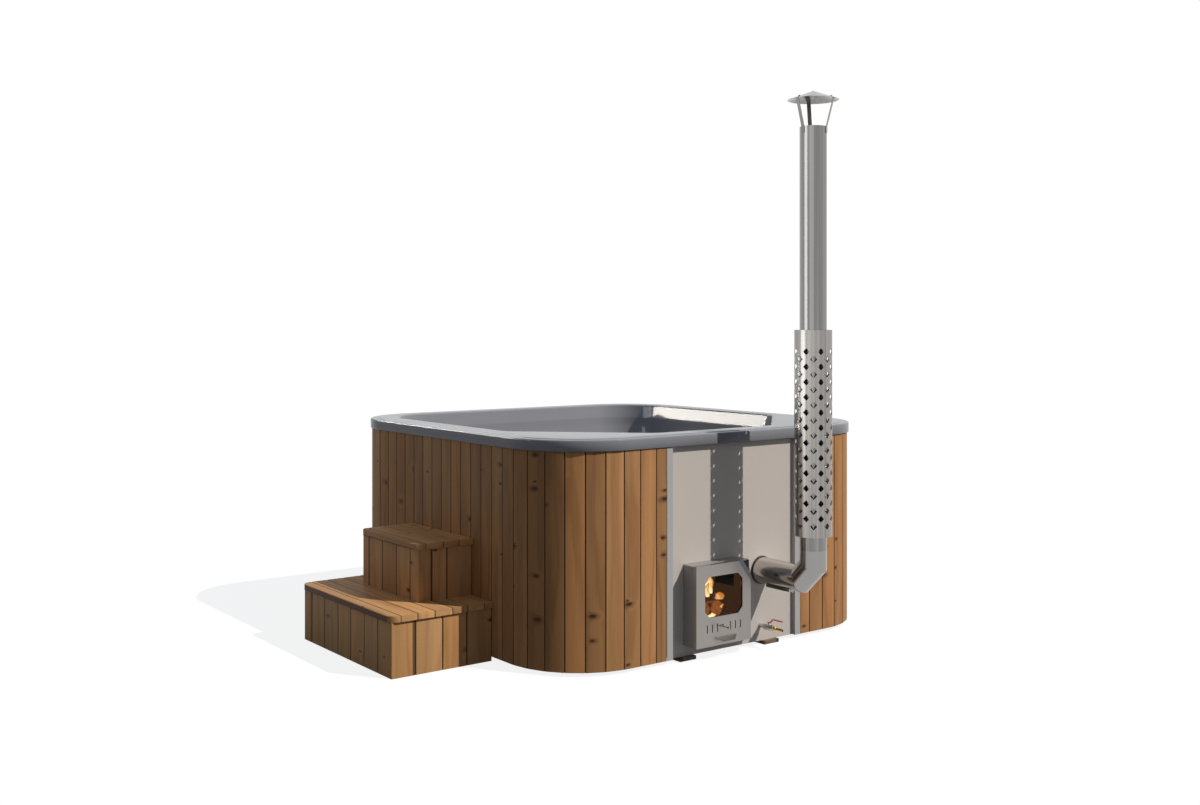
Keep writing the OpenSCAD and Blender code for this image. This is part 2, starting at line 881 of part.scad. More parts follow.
module door_casing() {
    color(steel) difference() {
        block([stove_w, door_t, stove_h], [stove_x - stove_w / 2, door_front, stove_z]);
        block([stove_w - 2 * door_sheet, door_t, stove_h - 2 * door_sheet],
            [stove_x - stove_w / 2 + door_sheet, door_front + door_sheet, stove_z + door_sheet]);
        upright(door_sheet + 2 * overrun, door_front - overrun) {
            window_shape(0, window_z);
            slot_row(slot_z, slot_w, slot_h);
            translate([knob_shift - knob_r - knob_play, knob_z - knob_r - knob_play])
                square([2 * (knob_r + knob_play) + air_travel, 2 * (knob_r + knob_play)]);
        }
    }
}

module door_liner() {
    color(dark_steel) upright(liner_t, liner_y) difference() {
        translate([-stove_w / 2 + liner_inset, stove_z + liner_inset])
            square([stove_w - 2 * liner_inset, stove_h - 2 * liner_inset]);
        window_shape(0, window_z);
        slot_row(slot_z, 2 * slot_w, slot_h);
        for (at = screw_spots) translate(at) circle(r = screw_r + fit_gap);
    }
}

module liner_screws() {
    color(steel) for (at = screw_spots) translate([stove_x + at[0], liner_y + liner_t, at[1]]) {
        rod_y(screw_r, liner_y + liner_t - door_front - door_sheet, [0, 0, 0]);
        rod_y(screw_head, screw_head_t, [0, screw_head_t, 0]);
    }
}

module door_glass() {
    color(clear_glass) upright(glass_t, door_front + door_sheet + fit_gap)
        window_shape(glass_lap, window_z);
}

module door_handle() {
    slope = atan(handle_drop / handle_out);
    reach = sqrt(pow(handle_out, 2) + pow(handle_drop, 2));
    color(steel) difference() {
        translate([handle_x, door_front, stove_z + handle_up]) rotate([180 + slope, 0, 0])
            linear_extrude(handle_t) polygon([[-handle_w / 2, -handle_t], [handle_w / 2, -handle_t],
                [handle_lip_w / 2, reach], [-handle_lip_w / 2, reach]]);
        block([2 * handle_w, door_t, 2 * handle_w], [handle_x - handle_w, door_front, stove_z - handle_w]);
    }
}

module knuckle(z, h) {
    difference() {
        rod_z(knuckle_r, h, [hinge_x, hinge_y, z]);
        rod_z(pin_r + run_gap, h + 2 * overrun, [hinge_x, hinge_y, z - overrun]);
    }
}

module hinge_brackets() {
    color(dark_steel) for (s = hinge_up_shares, part = [0, 2]) {
        z = stove_z + s * stove_h + part * (knuckle_h + knuckle_gap);
        side = stove_x + neck_half;
        knuckle(z, knuckle_h);
        difference() {
            union() {
                block([hinge_x - side, leaf_t, knuckle_h], [side, neck_y, z]);
                block([leaf_t, leaf_reach, knuckle_h], [side, neck_y, z]);
            }
            rod_z(knuckle_r - fit_gap, knuckle_h + 2 * overrun, [hinge_x, hinge_y, z - overrun]);
        }
    }
}

module hinge_leaves() {
    edge = stove_x + stove_w / 2;
    color(dark_steel) for (s = hinge_up_shares) {
        z = stove_z + s * stove_h + knuckle_h + knuckle_gap;
        knuckle(z, knuckle_h);
        difference() {
            union() {
                block([hinge_x - edge, leaf_t, knuckle_h], [edge, hinge_y - leaf_t, z]);
                block([leaf_t, leaf_reach, knuckle_h], [edge, hinge_y - leaf_reach, z]);
            }
            rod_z(knuckle_r - fit_gap, knuckle_h + 2 * overrun, [hinge_x, hinge_y, z - overrun]);
        }
    }
}

module hinge_pins() {
    tall = 3 * knuckle_h + 2 * knuckle_gap;
    color(steel) for (s = hinge_up_shares) {
        z = stove_z + s * stove_h;
        rod_z(pin_r, tall, [hinge_x, hinge_y, z]);
        rod_z(pin_head_r, pin_head, [hinge_x, hinge_y, z + tall]);
    }
}

module air_slide() {
    deep = door_front + door_sheet + move_gap;
    color(dark_steel) upright(slide_t, deep) difference() {
        translate([-slide_w / 2, slot_z + slot_h / 2 - slide_h / 2]) square([slide_w, slide_h]);
        slot_row(slot_z - slot_w / 2, slot_w + 2 * side_clear, slot_h + slot_w);
    }
}

module air_knob() {
    deep = door_front + door_sheet + move_gap;
    at = [stove_x + knob_shift, deep, knob_z];
    color(steel) {
        rod_y(knob_r, deep - door_front + knob_len, at);
        rod_y(knob_head_r, knob_head, [at[0], door_front - knob_len, at[2]]);
    }
}

// Pipes between the water jacket and the foot well
module heater_pipes() {
    from = jacket_back;
    to = -well_front - shell_t;
    color(steel) for (z = [heater_low, heater_high]) difference() {
        rod_y(heater_r, to - from + shell_t, [stove_x + heater_apart, to + shell_t, z]);
        rod_y(heater_r - heater_wall, to - from + shell_t + 2 * overrun,
            [stove_x + heater_apart, to + shell_t + overrun, z]);
    }
}

module heater_grilles() {
    pitch = 2 * grille_r / (grille_rows + 1);
    color(acrylic) for (z = [heater_low, heater_high]) difference() {
        rod_y(grille_r, grille_t, [stove_x + heater_apart, -well_front + grille_t, z]);
        rod_y(heater_r, grille_t - shell_t / 2,
            [stove_x + heater_apart, -well_front + grille_t - shell_t / 2, z]);
        for (i = [1 : grille_rows]) {
            up = -grille_r + i * pitch;
            run = sqrt(pow(grille_r, 2) - pow(up, 2)) - grille_t;
            block([2 * run, grille_t + 2 * overrun, grille_slot],
                [stove_x + heater_apart - run, -well_front - overrun, z + up - grille_slot / 2]);
        }
    }
}

// Flue, chimney, guard and rain cap
module flue_collar() {
    color(soot) difference() {
        rod_y(collar_r, collar_t, [flue_x, panel_y, flue_z]);
        rod_y(flue_r + fit_gap, collar_t + 2 * overrun, [flue_x, panel_y + overrun, flue_z]);
    }
}

module beyond(at, angle) {
    translate(at) rotate([90 - angle, 0, 0]) translate([-wide / 2, -wide / 2, 0]) cube(wide);
}

module ahead(at, angle) {
    translate(at) rotate([90 - angle, 0, 0]) translate([-wide / 2, -wide / 2, -wide]) cube(wide);
}

module flue_tube(at, angle, length) {
    translate(at) rotate([90 - angle, 0, 0]) difference() {
        cylinder(h = length, r = flue_r);
        translate([0, 0, -overrun]) cylinder(h = length + 2 * overrun, r = flue_r - flue_t);
    }
}

module flue_elbow() {
    start = panel_y + smoke_front + smoke_wall;
    first = [flue_x, flue_y + elbow_leg, flue_z];
    second = [flue_x, flue_y, flue_z + elbow_leg];
    color(steel) {
        difference() {
            flue_tube([flue_x, start, flue_z], 0, start - first[1] + flue_r);
            beyond(first, mitre);
        }
        difference() {
            flue_tube(first - flue_r * [0, -cos(slant), sin(slant)], slant, elbow_leg * sqrt(2) + flue_d);
            ahead(first, mitre);
            beyond(second, slant + mitre);
        }
        difference() {
            flue_tube(second - [0, 0, flue_r], 90, elbow_top - second[2] + flue_r);
            ahead(second, slant + mitre);
        }
    }
}

module cleanout_cover() {
    color(steel) difference() {
        block([cover_w, cover_len, cover_t + cover_wrap],
            [flue_x - cover_w / 2, panel_y - cover_from - cover_len, flue_z - flue_r - cover_t]);
        rod_y(flue_r + fit_gap, cover_len + 2 * overrun,
            [flue_x, panel_y - cover_from + overrun, flue_z]);
    }
}

module cleanout_screws() {
    color(dark_steel) for (y = [knob_screw_inset, cover_len - knob_screw_inset])
        rod_z(knob_screw_r, knob_screw_h, [flue_x, panel_y - cover_from - y,
            flue_z - flue_r - cover_t - knob_screw_h]);
}

module pipe_z(r, t, from, to) {
    difference() {
        rod_z(r, to - from, [flue_x, flue_y, from]);
        rod_z(r - t, to - from + 2 * overrun, [flue_x, flue_y, from - overrun]);
    }
}

module chimney_lower() {
    color(steel) {
        pipe_z(flue_r, flue_t, elbow_top, chimney_joint);
        pipe_z(flue_r - flue_t - sleeve_gap, flue_t, elbow_top - sleeve_len, elbow_top + sleeve_len);
        pipe_z(flue_r - flue_t / 2, flue_t / 2 + sleeve_gap + flue_t, elbow_top, elbow_top + sleeve_len);
    }
}

module chimney_upper() {
    color(steel) {
        pipe_z(flue_r, flue_t, chimney_joint, chimney_top);
        pipe_z(flue_r - flue_t - sleeve_gap, flue_t, chimney_joint - sleeve_len,
            chimney_joint + sleeve_len);
        pipe_z(flue_r - flue_t / 2, flue_t / 2 + sleeve_gap + flue_t, chimney_joint,
            chimney_joint + sleeve_len);
    }
}

module heat_guard() {
    color(steel) difference() {
        pipe_z(guard_r, guard_t, guard_z, guard_top);
        for (row = [0 : guard_rows - 1], i = [0 : guard_columns / 4 - 1]) {
            turned = (i * 2 + (row + 1) % 2) * 360 / guard_columns;
            translate([flue_x, flue_y, guard_first - row * guard_row]) rotate([0, 0, turned])
                rotate([hole_turn, 0, 0])
                    cube([guard_d + 2 * overrun, guard_hole, guard_hole], center = true);
        }
    }
}

module guard_spacers() {
    color(steel) for (z = [guard_z + spacer_inset, guard_top - spacer_inset],
        i = [0 : spacer_count - 1]) intersection() {
        translate([flue_x, flue_y, z]) rotate([0, 0, strap_turn + i * 360 / spacer_count])
            block([guard_r, spacer_w, spacer_t], [0, -spacer_w / 2, 0]);
        pipe_z(guard_r - guard_t - fit_gap, guard_r - guard_t - flue_r - 2 * fit_gap, guard_z, guard_top);
    }
}

function cap_under(r) = cap_low + (cap_r - r) * cap_rise / cap_r - cap_t;

module cap_straps() {
    foot = flue_r + fit_gap;
    color(steel) for (i = [0 : strap_count - 1]) translate([flue_x, flue_y, 0])
        rotate([0, 0, strap_turn + i * 360 / strap_count]) translate([0, strap_w / 2, 0])
            rotate([90, 0, 0]) linear_extrude(strap_w) polygon([
                [foot, chimney_top - strap_hold], [foot + strap_t, chimney_top - strap_hold],
                [foot + strap_t, chimney_top], [strap_r + strap_t, cap_under(strap_r + strap_t) - strap_t],
                [strap_r + strap_t, cap_under(strap_r + strap_t) - fit_gap],
                [strap_r - strap_w, cap_under(strap_r - strap_w) - fit_gap],
                [strap_r - strap_w, cap_under(strap_r - strap_w) - fit_gap - strap_t],
                [strap_r, cap_under(strap_r) - fit_gap - strap_t], [foot, chimney_top]]);
}

module rivet_spots() {
    for (i = [0 : strap_count - 1]) translate([flue_x, flue_y, 0])
        rotate([0, 0, strap_turn + i * 360 / strap_count]) translate([strap_r - strap_w / 2, 0, 0])
            children();
}

module rain_cap() {
    color(steel) difference() {
        translate([flue_x, flue_y, cap_low]) cylinder(h = cap_rise, r1 = cap_r, r2 = 0);
        translate([flue_x, flue_y, cap_low - cap_t]) cylinder(h = cap_rise, r1 = cap_r, r2 = 0);
        rivet_spots() rod_z(rivet_r + fit_gap, cap_rise, [0, 0, cap_low - cap_t]);
    }
}

module cap_rivets() {
    top = cap_under(strap_r - strap_w / 2 - rivet_head) + cap_t + fit_gap;
    color(steel) rivet_spots() {
        rod_z(rivet_r, top - cap_under(strap_r - strap_w / 2 - rivet_r) + fit_gap,
            [0, 0, cap_under(strap_r - strap_w / 2 - rivet_r) - fit_gap]);
        rod_z(rivet_head, rivet_head_t, [0, 0, top]);
    }
}

// Drain from the foot well to the valve
module floor_drain() {
    color(steel) difference() {
        union() {
            rod_z(drain_dish / 2, shell_t + lap, [drain_x, drain_y, floor_z - shell_t - lap]);
            rod_z(drain_dish / 2 + drain_lip, drain_lip / 2, [drain_x, drain_y, floor_z]);
        }
        rod_z(drain_r + fit_gap, lap, [drain_x, drain_y, floor_z - shell_t - lap]);
        rod_z(drain_bore, shell_t + 2 * lap, [drain_x, drain_y, floor_z - shell_t - lap]);
    }
}

module drain_line(r, extra) {
    top = floor_z - shell_t;
    rod_z(r, top - drain_z + extra, [drain_x, drain_y, drain_z]);
    translate([drain_x, drain_y, drain_z]) sphere(r = r);
    rod_y(r, drain_y - panel_y - drain_end + extra, [drain_x, drain_y, drain_z]);
}

module drain_pipe() {
    color(steel) difference() {
        drain_line(drain_r, 0);
        drain_line(drain_bore, overrun);
    }
}

module valve_nipple() {
    from = panel_y + drain_end;
    color(steel) difference() {
        rod_y(drain_r, from - nipple_y, [drain_x, from, drain_z]);
        rod_y(drain_bore, from - nipple_y + 2 * overrun, [drain_x, from + overrun, drain_z]);
    }
}

module valve_body() {
    color(steel) difference() {
        union() {
            rod_y(body_r - body_waist, valve_len, [drain_x, nipple_y, drain_z]);
            for (y = [nipple_y, valve_end + hex_len]) translate([drain_x, y, drain_z])
                rotate([90, 0, 0]) cylinder(h = hex_len, r = body_r, $fn = 6);
            rod_z(bonnet_r, bonnet_top, [drain_x, stem_y, drain_z]);
        }
        rod_y(drain_bore, valve_len + 2 * overrun, [drain_x, nipple_y + overrun, drain_z]);
        translate([drain_x, stem_y, drain_z]) sphere(r = ball_r + move_gap);
        rod_z(stem_r + run_gap, bonnet_top + overrun, [drain_x, stem_y, drain_z]);
    }
}

module valve_ball() {
    color(steel) difference() {
        union() {
            translate([drain_x, stem_y, drain_z]) sphere(r = ball_r);
            rod_z(stem_r, lever_z + lever_t - drain_z, [drain_x, stem_y, drain_z]);
        }
        rod_y(drain_bore, 2 * ball_r + 2 * overrun, [drain_x, stem_y + ball_r + overrun, drain_z]);
    }
}

module valve_lever() {
    high = lever_z + lever_rise;
    color(lever_red) difference() {
        translate([drain_x - lever_w / 2, stem_y, 0]) rotate([90, 0, 90]) linear_extrude(lever_w) polygon([
            [lever_foot, lever_z], [lever_foot, lever_z + lever_t], [-lever_foot, lever_z + lever_t],
            [-lever_foot - lever_ramp, high + lever_t], [-lever_len, high + lever_t],
            [-lever_len, high], [-lever_foot - lever_ramp + lever_t / 2, high],
            [-lever_foot + lever_t / 2, lever_z]]);
        rod_z(stem_r + fit_gap, lever_rise, [drain_x, stem_y, lever_z - overrun]);
    }
}

module lever_nut() {
    color(steel) translate([drain_x, stem_y, lever_z + lever_t]) cylinder(h = nut_h, r = nut_r, $fn = 6);
}

module outlet_tail() {
    color(brass_tone) difference() {
        union() {
            rod_y(tail_r, tail_len, [drain_x, valve_end, drain_z]);
            translate([drain_x, valve_end, drain_z]) rotate([90, 0, 0])
                cylinder(h = tail_hex, r = tail_hex_r, $fn = 6);
        }
        rod_y(drain_bore, tail_len + 2 * overrun, [drain_x, valve_end + overrun, drain_z]);
    }
}

// Two loose steps: frames, sides and treads
module step_posts(depth, w, from, to) {
    out = step_x - depth + step_side_t;
    low = step_y - w / 2 + step_side_t;
    high = step_y + w / 2 - step_side_t;
    for (x = [out, step_x - post_w], y = [low, high - post_w])
        block([post_w, post_w, to - from], [x, y, from]);
    for (x = [out, step_x - post_w])
        block([post_w, high - low - 2 * post_w, rail_h], [x, low + post_w, to - rail_h]);
    for (y = [low, high - post_w])
        block([step_x - out - 2 * post_w, post_w, rail_h], [out + post_w, y, to - rail_h]);
}

module step_frames() {
    color(raw_timber) {
        step_posts(low_depth, low_w, 0, low_box_h);
        step_posts(high_depth, high_w, low_h, high_box_h);
    }
}

module side_boards(length, h, shares) {
    for (i = [0 : len(shares) - 2]) {
        from = shares[i] * length + seam_gap / 2;
        to = shares[i + 1] * length - seam_gap / 2;
        linear_extrude(h) polygon([[from, board_groove], [from + board_groove, 0],
            [to - board_groove, 0], [to, board_groove], [to, step_side_t], [from, step_side_t]]);
    }
}

module step_sides(depth, w, from, to, front_shares, flank_shares) {
    out = step_x - depth;
    low = step_y - w / 2;
    high = step_y + w / 2;
    run = depth - step_side_t;
    color(timber) {
        translate([out, low, from]) mirror([1, -1, 0]) side_boards(w, to - from, front_shares);
        intersection() {
            translate([out, low, from]) side_boards(depth, to - from, flank_shares);
            block([run, step_side_t, to - from], [out + step_side_t, low, from]);
        }
        intersection() {
            translate([out, high, from]) mirror([0, 1, 0]) side_boards(depth, to - from, flank_shares);
            block([run, step_side_t, to - from], [out + step_side_t, high - step_side_t, from]);
        }
    }
}

module lower_step_sides() {
    step_sides(low_depth, low_w, 0, low_box_h, low_front_shares, low_flank_shares);
}

module upper_step_sides() {
    step_sides(high_depth, high_w, low_h, high_box_h, high_front_shares, high_flank_shares);
}

module tread(depth, w, top, shares) {
    out = step_x - depth - tread_over;
    low = step_y - w / 2 - tread_over;
    high = step_y + w / 2 + tread_over;
    for (i = [0 : len(shares) - 2]) {
        from = shares[i] * (step_x - out) + seam_gap / 2;
        to = shares[i + 1] * (step_x - out) - (i == len(shares) - 2 ? 0 : seam_gap / 2);
        intersection() {
            translate([out, high + overrun, top]) rotate([90, 0, 0])
                linear_extrude(high - low + 2 * overrun) polygon([[from, -tread_t], [from, -board_groove],
                    [from + board_groove, 0], [to - board_groove, 0], [to, -board_groove], [to, -tread_t]]);
            translate([0, 0, top - tread_t - overrun]) linear_extrude(tread_t + 2 * overrun) union() {
                round_rect([out, low], [step_x, high], tread_r);
                translate([out + tread_r, low]) square([step_x - out - tread_r, high - low]);
            }
        }
    }
}

module step_treads() {
    color(timber) {
        tread(low_depth, low_w, low_h, low_tread_shares);
        tread(high_depth, high_w, high_h, high_tread_shares);
    }
}

ground_skids();
floor_joists();
base_deck();
wall_studs();
lower_ring();
middle_ring();
upper_ring();
shell_bearers();
shell_rim();
shell_wall();
shell_bench();
shell_well();
cladding_left();
cladding_back();
cladding_right();
steel_panel();
panel_trims();
stove_body();
water_jacket();
smoke_box();
fire_grate();
ash_pan();
firewood();
door_gasket();
door_casing();
door_liner();
door_glass();
liner_screws();
door_handle();
hinge_brackets();
hinge_leaves();
hinge_pins();
air_slide();
air_knob();
heater_pipes();
heater_grilles();
flue_collar();
flue_elbow();
cleanout_cover();
cleanout_screws();
chimney_lower();
chimney_upper();
heat_guard();
guard_spacers();
cap_straps();
rain_cap();
cap_rivets();
floor_drain();
drain_pipe();
valve_nipple();
valve_body();
valve_ball();
valve_lever();
lever_nut();
outlet_tail();
step_frames();
lower_step_sides();
upper_step_sides();
step_treads();
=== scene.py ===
import json
import math
import random

import bmesh
import bpy
import numpy as np
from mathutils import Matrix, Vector

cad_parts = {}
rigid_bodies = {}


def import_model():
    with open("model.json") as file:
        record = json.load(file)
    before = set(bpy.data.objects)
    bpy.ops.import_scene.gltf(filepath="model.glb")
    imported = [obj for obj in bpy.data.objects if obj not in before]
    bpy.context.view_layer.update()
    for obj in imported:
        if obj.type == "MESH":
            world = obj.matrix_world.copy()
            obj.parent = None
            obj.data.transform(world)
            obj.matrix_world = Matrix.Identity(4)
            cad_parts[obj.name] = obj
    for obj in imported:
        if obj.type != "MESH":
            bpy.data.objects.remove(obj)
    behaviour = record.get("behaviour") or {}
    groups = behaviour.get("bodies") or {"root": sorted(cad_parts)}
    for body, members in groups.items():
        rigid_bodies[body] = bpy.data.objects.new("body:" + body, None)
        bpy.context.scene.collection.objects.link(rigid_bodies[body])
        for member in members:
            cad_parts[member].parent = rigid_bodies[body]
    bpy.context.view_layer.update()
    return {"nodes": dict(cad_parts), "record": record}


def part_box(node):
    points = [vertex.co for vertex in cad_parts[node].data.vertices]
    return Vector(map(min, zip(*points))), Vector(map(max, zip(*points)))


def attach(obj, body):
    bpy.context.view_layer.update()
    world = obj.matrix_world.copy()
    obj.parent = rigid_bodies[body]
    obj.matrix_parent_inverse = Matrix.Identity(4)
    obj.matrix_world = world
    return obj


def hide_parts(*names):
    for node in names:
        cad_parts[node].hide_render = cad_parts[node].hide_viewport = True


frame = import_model()
NODES = frame["nodes"]
BODY = {n: b for b, ns in frame["record"]["behaviour"]["bodies"].items() for n in ns}

X, Y, Z = 0, 1, 2
SAME_PLACE = 0.00002


def box_of(node):
    """The low and the high corner of a node's box, to a tenth of a millimetre."""
    return [[round(c, 4) for c in corner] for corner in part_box(node)]


def show(name, data):
    """Puts a new mesh, lamp or camera in the scene."""
    ob = bpy.data.objects.new(name, data)
    bpy.context.scene.collection.objects.link(ob)
    return ob


# Shader helpers
class Graph:
    """The node tree of one material or world, with short calls that add and link its nodes."""

    def __init__(self, owner, output="OutputMaterial"):
        self.owner = owner
        owner.use_nodes = True
        self.tree = owner.node_tree
        self.tree.nodes.clear()
        self.out = self.tree.nodes.new("ShaderNode" + output)

    def add(self, kind, ins=None, **props):
        n = self.tree.nodes.new("ShaderNode" + kind)
        for k, v in props.items():
            setattr(n, k, v)
        for k, v in (ins or {}).items():
            self.put(n.inputs[k], v)
        return n

    def put(self, socket, v):
        if isinstance(v, bpy.types.NodeSocket):
            self.tree.links.new(v, socket)
        else:
            socket.default_value = v

    def math(self, op, a, b=0.0, clamp=False):
        n = self.add("Math", operation=op, use_clamp=clamp)
        self.put(n.inputs[0], a)
        self.put(n.inputs[1], b)
        return n.outputs[0]

    def ramp(self, fac, stops):
        """Colours from (place, colour) pairs, blended evenly between them."""
        n = self.add("ValToRGB", {0: fac})
        e = n.color_ramp.elements
        while len(e) < len(stops):
            e.new(0.5)
        for i, (pos, col) in enumerate(stops):
            e[i].position = pos
            e[i].color = (*col, 1)
        return n.outputs[0]

    def mix(self, fac, a, b, blend="MIX"):
        n = self.add("Mix", data_type="RGBA", blend_type=blend)
        self.put(n.inputs["Factor"], fac)
        colors = [s for s in n.inputs if s.type == "RGBA"]
        for socket, v in zip(colors, (a, b)):
            self.put(socket, v if isinstance(v, bpy.types.NodeSocket) else (*v, 1))
        return next(s for s in n.outputs if s.type == "RGBA")

    def gain(self, col, factor):
        """The colour times one number."""
        grey = self.add("CombineColor", {0: factor, 1: factor, 2: factor}).outputs[0]
        return self.mix(1.0, col, grey, "MULTIPLY")

    def remap(self, v, low, high, at_low=0.0, at_high=1.0, clamp=True):
        n = self.add("MapRange", clamp=clamp)
        for i, x in enumerate((v, low, high, at_low, at_high)):
            self.put(n.inputs[i], x)
        return n.outputs[0]

    def noise(self, vec, scale=1.0, detail=3.0, rough=0.5, dist=0.0):
        ins = {"Vector": vec, "Scale": scale, "Detail": detail, "Roughness": rough, "Distortion": dist}
        return self.add("TexNoise", ins).outputs[0]

    def scaled(self, vec, s):
        n = self.add("VectorMath", operation="MULTIPLY")
        self.put(n.inputs[0], vec)
        n.inputs[1].default_value = s
        return n.outputs[0]

    def attr(self, name):
        return self.add("Attribute", attribute_name=name)

    def place(self):
        return self.add("TexCoord").outputs["Object"]

    def bump(self, height, strength, distance):
        return self.add("Bump", {"Height": height, "Strength": strength, "Distance": distance}).outputs[0]

    def seen(self):
        """One where a ray comes from the camera, a reflection or a pane, and zero for plain light."""
        path = self.add("LightPath")
        seen = self.math("MAXIMUM", path.outputs["Is Camera Ray"], path.outputs["Is Glossy Ray"])
        return self.math("MAXIMUM", seen, path.outputs["Is Transmission Ray"])

    def done(self, shader):
        self.tree.links.new(shader, self.out.inputs[0])
        return self.owner


def material(name):
    return Graph(bpy.data.materials.new(name))


def tinted(color, gain):
    return tuple(c * gain for c in color)


# Plain paints and metals, a little uneven
PLAIN_SPECKLE = 60.0
PLAIN_DARKER = 0.93
PLAIN_LIGHTER = 1.05


def plain(name, color, rough=0.5, metal=0.0, spec=0.5, glow=None):
    g = material(name)
    b = g.add("BsdfPrincipled", {"Roughness": rough, "Metallic": metal, "Specular IOR Level": spec})
    # An emission colour given here is painted light; the soot uses it as painted firelight
    if glow:
        g.put(b.inputs["Emission Color"], (*glow, 1))
        g.put(b.inputs["Emission Strength"], 1.0)
    speckle = g.remap(g.noise(g.place(), PLAIN_SPECKLE, 2.0), 0.3, 0.7)
    g.put(b.inputs["Base Color"], g.mix(speckle, tinted(color, PLAIN_DARKER), tinted(color, PLAIN_LIGHTER)))
    return g.done(b.outputs[0])


# Wood: knots lie in cells over each board's face, and a knot's sizes are shares of its radius
KNOT_CELLS_ACROSS = 7.0
KNOT_CELLS_ALONG = 14.0
KNOT_SCATTER = 0.9
KNOT_RADII = (0.050, 0.150)
KNOT_RAGGED = 0.014
HEART_SPAN = (0.55, 1.05)
HALO_SPAN = (0.9, 2.3)
BEND_SPAN = (0.8, 5.0)
KNOT_COLOR = (0.022, 0.011, 0.006)
HEART_SHARE = 0.92
HALO_SHARE = 0.65
HALO_DARKNESS = 0.62
# Wood: how often each kind of line repeats in a metre, across, through and along a board
RAGGED_LINES = (260.0, 260.0, 160.0)
RING_LINES = (9.0, 9.0, 0.8)
FINE_LINES = (380.0, 380.0, 5.0)
FIBRE_LINES = (1400.0, 1400.0, 30.0)
BROAD_PATCHES = (12.0, 12.0, 1.4)
# Wood: growth rings are waves of a slow noise, which a knot shifts
RING_COUNT = 30.0
RING_SHARPNESS = 2.2
RING_BEND = 0.10
# Wood: how much each kind of line darkens a board
RING_SHARE = 0.36
FINE_SHARE = 0.26
BROAD_SHARE = 0.16
GRAIN_SHARE = 0.90
# Wood: tones from board to board, and a painted shade line along each board's edge where two boards meet
WARM_TONE = (1.05, 0.98, 0.90)
COOL_TONE = (0.96, 1.0, 1.05)
SEAM_SHADE_SPAN = (0.925, 0.968)
SEAM_SHADE_SHARE = 0.90
SEAM_SHADE_DARKNESS = 0.16


def knot_masks(g, grain, knots):
    """A knot's dark heart, the brown ring round it, and the wider patch where the grain bends."""
    at = g.add("SeparateXYZ", {0: grain})
    across = g.math("MULTIPLY", at.outputs[0], KNOT_CELLS_ACROSS)
    along = g.math("MULTIPLY", at.outputs[2], KNOT_CELLS_ALONG)
    face = g.add("CombineXYZ", {0: across, 1: along, 2: 0.0}).outputs[0]
    cells = g.add("TexVoronoi", {"Vector": face, "Scale": 1.0, "Randomness": KNOT_SCATTER},
                  voronoi_dimensions="2D", feature="F1", distance="EUCLIDEAN")
    pick = g.add("SeparateColor", {0: cells.outputs["Color"]})
    has = g.math("LESS_THAN", pick.outputs[0], knots)
    radius = g.remap(pick.outputs[1], 0.0, 1.0, *KNOT_RADII)
    ragged = g.remap(g.noise(g.scaled(grain, RAGGED_LINES), detail=2.0, rough=0.6), 0.0, 1.0,
                     -KNOT_RAGGED, KNOT_RAGGED)
    near = g.math("DIVIDE", g.math("ADD", cells.outputs["Distance"], ragged), radius)
    spans = (HEART_SPAN, HALO_SPAN, BEND_SPAN)
    return [g.math("MULTIPLY", g.remap(near, *span, 1.0, 0.0), has) for span in spans]


def growth_rings(g, grain, bend):
    wobble = g.noise(g.scaled(grain, RING_LINES), detail=2.0, rough=0.45, dist=0.2)
    wobble = g.math("ADD", wobble, g.math("MULTIPLY", g.math("MULTIPLY", bend, bend), RING_BEND))
    wave = g.remap(g.math("SINE", g.math("MULTIPLY", wobble, RING_COUNT)), -1.0, 1.0)
    return g.math("POWER", wave, RING_SHARPNESS)


def wood(name, light, dark, knots, tone_spread):
    """Boards: the grain attribute holds metres across, through and along each board."""
    g = material(name)
    grain = g.attr("grain").outputs["Vector"]
    tone = g.add("SeparateColor", {0: g.attr("tone").outputs["Color"]})
    heart, halo, bend = knot_masks(g, grain, knots)
    fine = g.noise(g.scaled(grain, FINE_LINES), rough=0.6)
    fibre = g.noise(g.scaled(grain, FIBRE_LINES), detail=2.0, rough=0.6)
    broad = g.noise(g.scaled(grain, BROAD_PATCHES))
    lines = g.math("ADD", g.math("MULTIPLY", growth_rings(g, grain, bend), RING_SHARE),
                   g.math("MULTIPLY", g.remap(fine, 0.3, 0.7), FINE_SHARE))
    lines = g.math("ADD", lines, g.math("MULTIPLY", g.remap(broad, 0.35, 0.65), BROAD_SHARE))
    col = g.mix(g.math("MULTIPLY", lines, GRAIN_SHARE, clamp=True), light, dark)
    col = g.mix(g.math("MULTIPLY", halo, HALO_SHARE), col, tinted(dark, HALO_DARKNESS))
    col = g.mix(g.math("MULTIPLY", heart, HEART_SHARE), col, KNOT_COLOR)
    col = g.gain(col, g.remap(tone.outputs[0], 0.0, 1.0, 1.0 - tone_spread, 1.0 + tone_spread, clamp=False))
    col = g.mix(1.0, col, g.mix(tone.outputs[1], WARM_TONE, COOL_TONE), "MULTIPLY")
    # Painted shade: each board darkens sharply near its long edges, for the shade in the gap between boards
    seam_shade_place = g.math("ABSOLUTE", g.attr("edge").outputs["Fac"])
    col = g.mix(g.remap(seam_shade_place, *SEAM_SHADE_SPAN, 0.0, SEAM_SHADE_SHARE), col, tinted(dark, SEAM_SHADE_DARKNESS))
    height = g.math("ADD", g.math("MULTIPLY", fine, 0.6), g.math("MULTIPLY", fibre, 0.4))
    b = g.add("BsdfPrincipled", {"Base Color": col, "Roughness": 0.62, "Specular IOR Level": 0.18,
                                 "Normal": g.bump(height, 0.30, 0.0006)})
    return g.done(b.outputs[0])


# Sheet steel: brush lines and slow bands, by how often they repeat in a metre
BRUSH_ACROSS = 900.0
BRUSH_ALONG = 6.0
BAND_ACROSS = 70.0
BAND_ALONG = 0.25


def stretched(axis, across, along):
    """Scales for a noise that is drawn out along one axis."""
    return tuple(along if i == axis else across for i in range(3))


